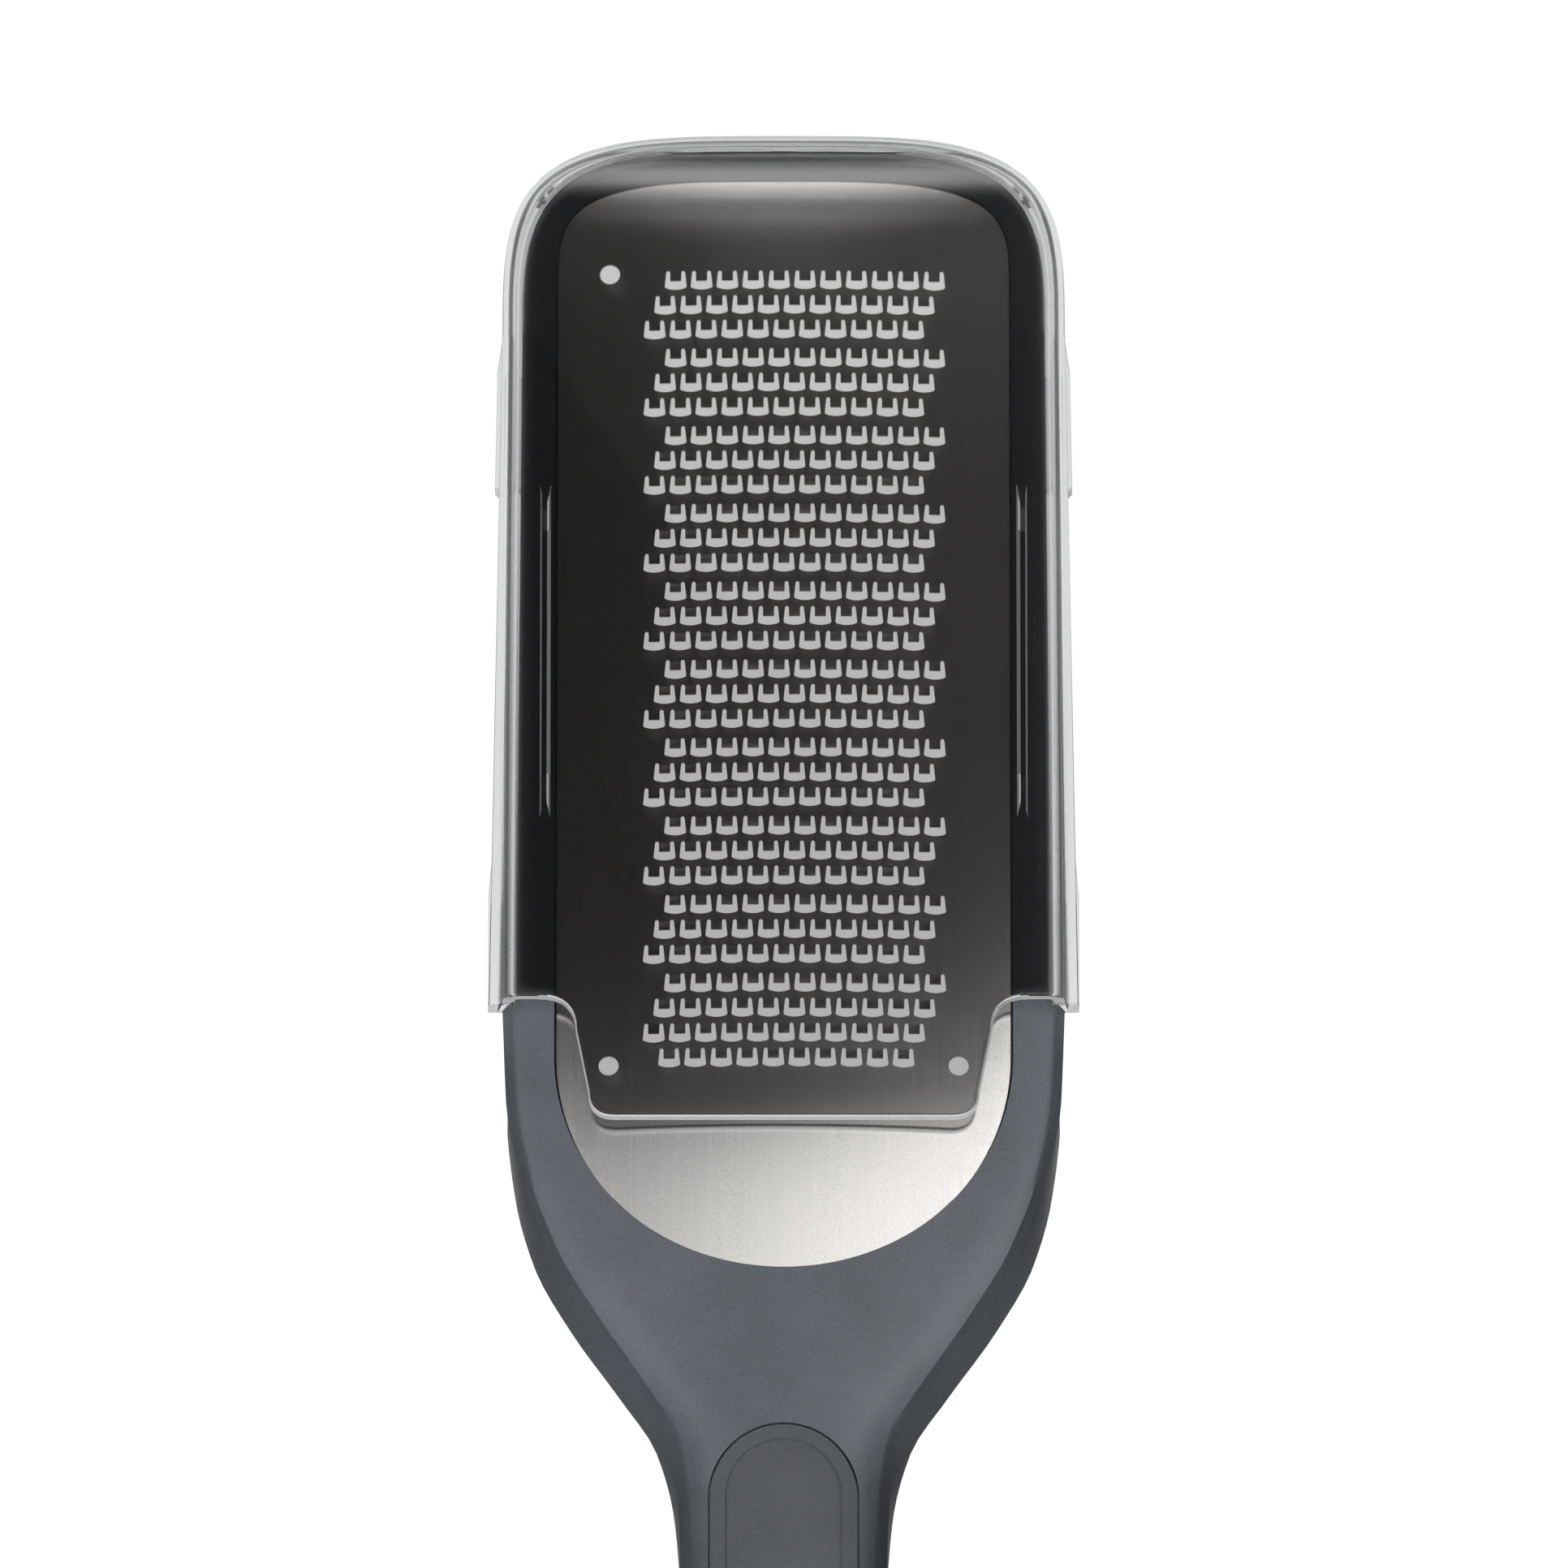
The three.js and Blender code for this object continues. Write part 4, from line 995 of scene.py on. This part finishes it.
start, end = (TAB_END_HALF - TAB_CORNER, TAB_END_Y), (TAB_END_HALF, TAB_END_Y + TAB_CORNER)
tab = [start] + curve(start, (TAB_END_HALF, TAB_END_Y), end, 8)
start, end = (TAB_ROOT_HALF, SHOULDER_Y - TAB_HOLLOW), (TAB_ROOT_HALF + TAB_HOLLOW, SHOULDER_Y)
tab += [start] + curve(start, (TAB_ROOT_HALF, SHOULDER_Y), end, 8)
tab += [(42, SHOULDER_Y), (42, 150)]  # past side and tip
cover = carve(cover, slab(both_sides(tab)), "INTERSECT")
bmesh.ops.remove_doubles(cover, verts=cover.verts, dist=1e-4)
cut = [f for f in cover.faces if f.calc_center_median().y < SHOULDER_Y + 0.01 and abs(f.normal.z) < 0.3]
level = [e for f in cut for e in f.edges if sum(abs(g.normal.z) > 0.7 for g in e.link_faces) == 1]
soften(cover, list(set(level)), 0.35)
print("cut edges softened:", len(set(level)))

# %% [markdown]
# The front isn't quite flat: its last centimetre bends down toward the tip, where it catches a soft
# reflection. It is sliced across there first, so that it has vertices to bend.

# %% Bend the front down at the tip
TIP_BEND = [(134.5, 0), (135.6, 0.05), (136.8, 0.22), (138, 0.47)]  # places and how far down
TIP_BEND += [(139.2, 0.73), (140.4, 1.02), (141.7, 1.36)]
for step in range(13):
    whole = cover.verts[:] + cover.edges[:] + cover.faces[:]
    place = (0, TIP_BEND[0][0] + 0.6 * step, 0)
    bmesh.ops.bisect_plane(cover, geom=whole, plane_co=place, plane_no=(0, 1, 0), dist=1e-4)
for vert in cover.verts:
    share = min(1.0, max(0.0, (vert.co.z - RAIL_TOP) / (CEILING - RAIL_TOP)))
    vert.co.z -= share * blend(TIP_BEND, vert.co.y)
print("bent front:", len(cover.faces), "faces")

# %% [markdown]
# The rim is marked on the points and fades over a millimetre. Cut faces, the lower ends of the lugs and the
# chamfers of the ribs get their own pale plastics, which paint highlight lines there. The inner chamfers stay
# clear at the ribs' sloped ends, where they mirror the bright surroundings.

# %% Mark the clear rim and the faces with painted highlights
RIM_WIDTH, RIM_FADE = 2.6, 1.1
RIB_X, RIB_MIDDLE = 32.2, 32.4  # near a rib's root, and between its two chamfers
LUG_X = 38.4  # rail and lugs lie outside of it


def rim_share(place):
    """1 at the cover's rim, 0 on its front."""
    half_width = head_half_width(CORNER_Y) - RAIL_WIDTH
    if place.y < CORNER_Y:
        flare = head_half_width(place.y) - head_half_width(CORNER_Y)
        inset = half_width + EDGE_WIDENING * flare - abs(place.x)
    else:
        length = TIP_Y - RAIL_WIDTH - CORNER_Y
        reach = (abs(place.x) / half_width) ** HEAD_POWER + ((place.y - CORNER_Y) / length) ** HEAD_POWER
        inset = length * (1 - reach ** (1 / HEAD_POWER))
    return min(1.0, max(0.0, (RIM_WIDTH - inset) / RIM_FADE))


def plastic_of(face):
    """0 for the clear plastic, 1 for a frosted cut with a painted highlight, 2 for a rib chamfer with a
    painted highlight line.
    """
    middle, normal = face.calc_center_median(), face.normal
    on_cut = middle.y < SHOULDER_Y + 0.01 and abs(normal.z) < 0.95
    on_lug = abs(middle.x) > LUG_X and middle.z < RAIL_TOP and normal.y < -0.4
    if on_cut or on_lug:
        return 1
    in_rib = abs(abs(middle.x) - RIB_X) < 1 and RAIL_TOP < middle.z < CEILING
    # faces that get the pale rib plastic, which paints a highlight line
    painted_line = abs(middle.x) > RIB_MIDDLE or LEVEL_RIB[0] < middle.y < LEVEL_RIB[1]
    return 2 if in_rib and painted_line and 0.5 < abs(normal.x) < 0.9 else 0


for face in cover.faces:
    face.material_index = plastic_of(face)
bmesh.ops.remove_doubles(cover, verts=cover.verts, dist=1e-4)
shares = [rim_share(vert.co) for vert in cover.verts]
clear_cover = make_piece("clear_cover", cover, cover_plastic, "cover", "protective_cover")
# the two pale plastics paint highlight lines on cut faces, lug ends and rib chamfers
clear_cover.data.materials.append(cut_edge_highlight)
clear_cover.data.materials.append(rib_painted_highlight)
clear_cover.data.attributes.new("rim", "FLOAT", "POINT").data.foreach_set("value", shares)
print("rim on", sum(share > 0.5 for share in shares), "of", len(shares), "points")

# %% [markdown]
# ## Table and studio light
#
# The grater lies on a white table. The table is white to the camera, to reflections and through the
# cover, and still takes a soft shadow, because part of it is an ordinary diffuse white.


# %% White table
def first_diffuse(tree):
    """1 until light has met a matte face, 0 after that."""
    path = add(tree, "LightPath")
    return combine("LESS_THAN", path.outputs["Diffuse Depth"], 0.5)


def seen_directly(tree):
    """1 for what the camera sees directly, mirrored or through clear things, 0 for light on matte faces."""
    path = add(tree, "LightPath")
    shown = combine("MAXIMUM", path.outputs["Is Glossy Ray"], path.outputs["Is Transmission Ray"])
    shown = combine("MAXIMUM", shown, path.outputs["Is Camera Ray"])
    return combine("MULTIPLY", shown, first_diffuse(tree))


table_white, tree, shader = new_finish("table_white")
tune(shader, Base_Color=(0.85, 0.85, 0.85, 1), Roughness=0.9)
glow = add(tree, "Emission", Strength=1.1)
share = combine("MULTIPLY", seen_directly(tree), 0.9)
mix_shaders(tree, share, shader.outputs["BSDF"], glow.outputs["Emission"])

table = bmesh.new()
bmesh.ops.create_grid(table, x_segments=1, y_segments=1, size=20)
bmesh.ops.translate(table, vec=(0, 0, -0.0004), verts=table.verts)
table_top = new_object("table", table, table_white)
print("table:", len(table_top.data.polygons), "face")

# %% [markdown]
# The surroundings are white where something shows them, and give matte faces about a tenth of their light.
# The rest comes from a broad lamp above the handle, so that faces at the sides stay darker, as on the
# photograph. Mirroring and clear faces don't show the lamp.

# %% Surroundings and lamp
world = bpy.data.worlds.new("studio")
scene.world = world
world.use_nodes = True
tree = world.node_tree
strength = ramp(seen_directly(tree), 0.0, 1.0, 0.1, 1.0)
tune(tree.nodes["Background"], Color=(1, 1, 1, 1), Strength=strength)

lamp = bpy.data.objects.new("overhead_lamp", bpy.data.lights.new("overhead_lamp", "AREA"))
lamp.data.energy = 12.5
lamp.data.shape = "RECTANGLE"
lamp.data.size, lamp.data.size_y = 0.35, 0.4
lamp.location = (-0.1, -0.6, 0.75)
lamp.rotation_euler = (-lamp.location).to_track_quat("-Z", "Y").to_euler()
lamp.visible_camera = lamp.visible_glossy = lamp.visible_transmission = False
scene.collection.objects.link(lamp)
print("lamp:", lamp.data.energy, "W at", round(lamp.location.length, 2), "m")

# %% [markdown]
# Polished things look as their surroundings do. So, as in product photography, a graduated card hangs over
# the head, which only reflections and clear things show. It is dark over the blade, brighter over the right
# side, and white over the handle, brightest at both sides, which makes the bare end of the steel shine. At
# its far end a bright window lights up the bent tips of steel and cover, and a dark card behind it keeps the
# rest of the tip dark.


# %% Graduated card
def soft_step(value, start, end, low, high):
    return ramp(value, start, end, low, high, "SMOOTHSTEP")


def hang_card(name, corners, paper=False):
    """A card that reflections and clear things show, or as paper, reflections and matte faces."""
    tone, tree, shader = new_finish(name)
    tree.nodes.remove(shader)
    glow = add(tree, "Emission", Strength=0.0)
    tune(tree.nodes["Material Output"], Surface=glow.outputs["Emission"])
    place = add(tree, "TexCoord")
    axes = add(tree, "SeparateXYZ", Vector=place.outputs["Object"])
    bm = bmesh.new()
    bm.faces.new([bm.verts.new(corner) for corner in corners])
    card = new_object(name, bm, tone)
    card.visible_camera = card.visible_shadow = False
    card.visible_diffuse, card.visible_transmission = paper, not paper
    return glow, axes.outputs


def give_tone(glow, tone):
    """Makes a card glow in a tone, except for light that reaches matte faces through the cover."""
    tune(glow, Strength=combine("MULTIPLY", tone, first_diffuse(glow.id_data)))


def window_width(x):
    """1 across the window, a little beside it, 0 far from it."""
    beside = combine("ABSOLUTE", x, 0.0)
    sharp = soft_step(beside, 0.034, 0.028, 0.0, 0.93)
    return combine("ADD", sharp, soft_step(beside, 0.11, 0.04, 0.0, 0.07))


CARD_Z = 0.3
CARD_HALF = 0.35
CARD_START, CARD_END = -0.3, 0.436
DARK = 0.08  # share of the card's tone that is left over the blade
plan = [(-CARD_HALF, CARD_START), (CARD_HALF, CARD_START), (CARD_HALF, CARD_END), (-CARD_HALF, CARD_END)]
glow, (x, y, _) = hang_card("graduated_card", [(x, y, CARD_Z) for x, y in plan])
bow = combine("MULTIPLY", combine("MULTIPLY", x, x), 1.5)
bent_edge = combine("ADD", bow, combine("MULTIPLY", x, 0.08))
along = soft_step(combine("SUBTRACT", y, bent_edge), 0.106, 0.098, DARK, 1.0)
across = soft_step(x, -0.11, 0.06, 0.5, 1.5)
rising = ramp(y, 0.23, 0.43, 0.0, 2.42)
window = combine("MULTIPLY", rising, rising)
window = combine("MULTIPLY", window, soft_step(y, CARD_END, 0.43, 0.5, 1.0))
window = combine("MULTIPLY", window, window_width(x))
sides = soft_step(combine("ABSOLUTE", x, 0.0), 0.13, 0.34, 0.0, 3.0)
sides = combine("MULTIPLY", sides, soft_step(y, 0.1, 0.06, 0.0, 1.0))
tone = combine("ADD", combine("MULTIPLY", along, across), combine("ADD", window, sides))
give_tone(glow, tone)

sloping = [(CARD_END + 0.001, CARD_Z), (0.6, 0.05)]
places = [(side * CARD_HALF, *place) for place in sloping for side in (-1, 1)]
glow, (x, _, z) = hang_card("dark_card", [places[i] for i in (0, 1, 3, 2)])
tone = soft_step(x, -0.11, 0.06, 0.5 * DARK, 1.5 * DARK)
fading = soft_step(z, 0.262, CARD_Z, 0.0, 3.0)
fading = combine("MULTIPLY", fading, window_width(x))
give_tone(glow, combine("ADD", tone, fading))
print("cards at", CARD_Z, "m")

# %% [markdown]
# Black paper on both sides, a few millimetres from arms and handle, keeps the white table from lighting their
# steep sides, and black flags stand farther out. The camera sees neither, directly or through the cover.

# %% Black paper and flags beside the grater
PAPER_GAP = 2.5
for side in (-1, 1):
    inner = [(front_station(y)[0] + PAPER_GAP, y) for y in range(-140, 16, 5)]
    plan = inner + [(65, 25), (65, 140), (300, 140), (300, -150)]
    hang_card("black_paper", [(side * 0.001 * x, 0.001 * y, 0.0002) for x, y in plan], paper=True)
    upright = [(side * 0.3, y, z) for y, z in ((-0.3, 0.001), (0.16, 0.001), (0.16, 0.13), (-0.3, 0.13))]
    hang_card("black_flag", upright, paper=True)
print("black paper from", round(inner[0][0], 1), "mm at the handle")
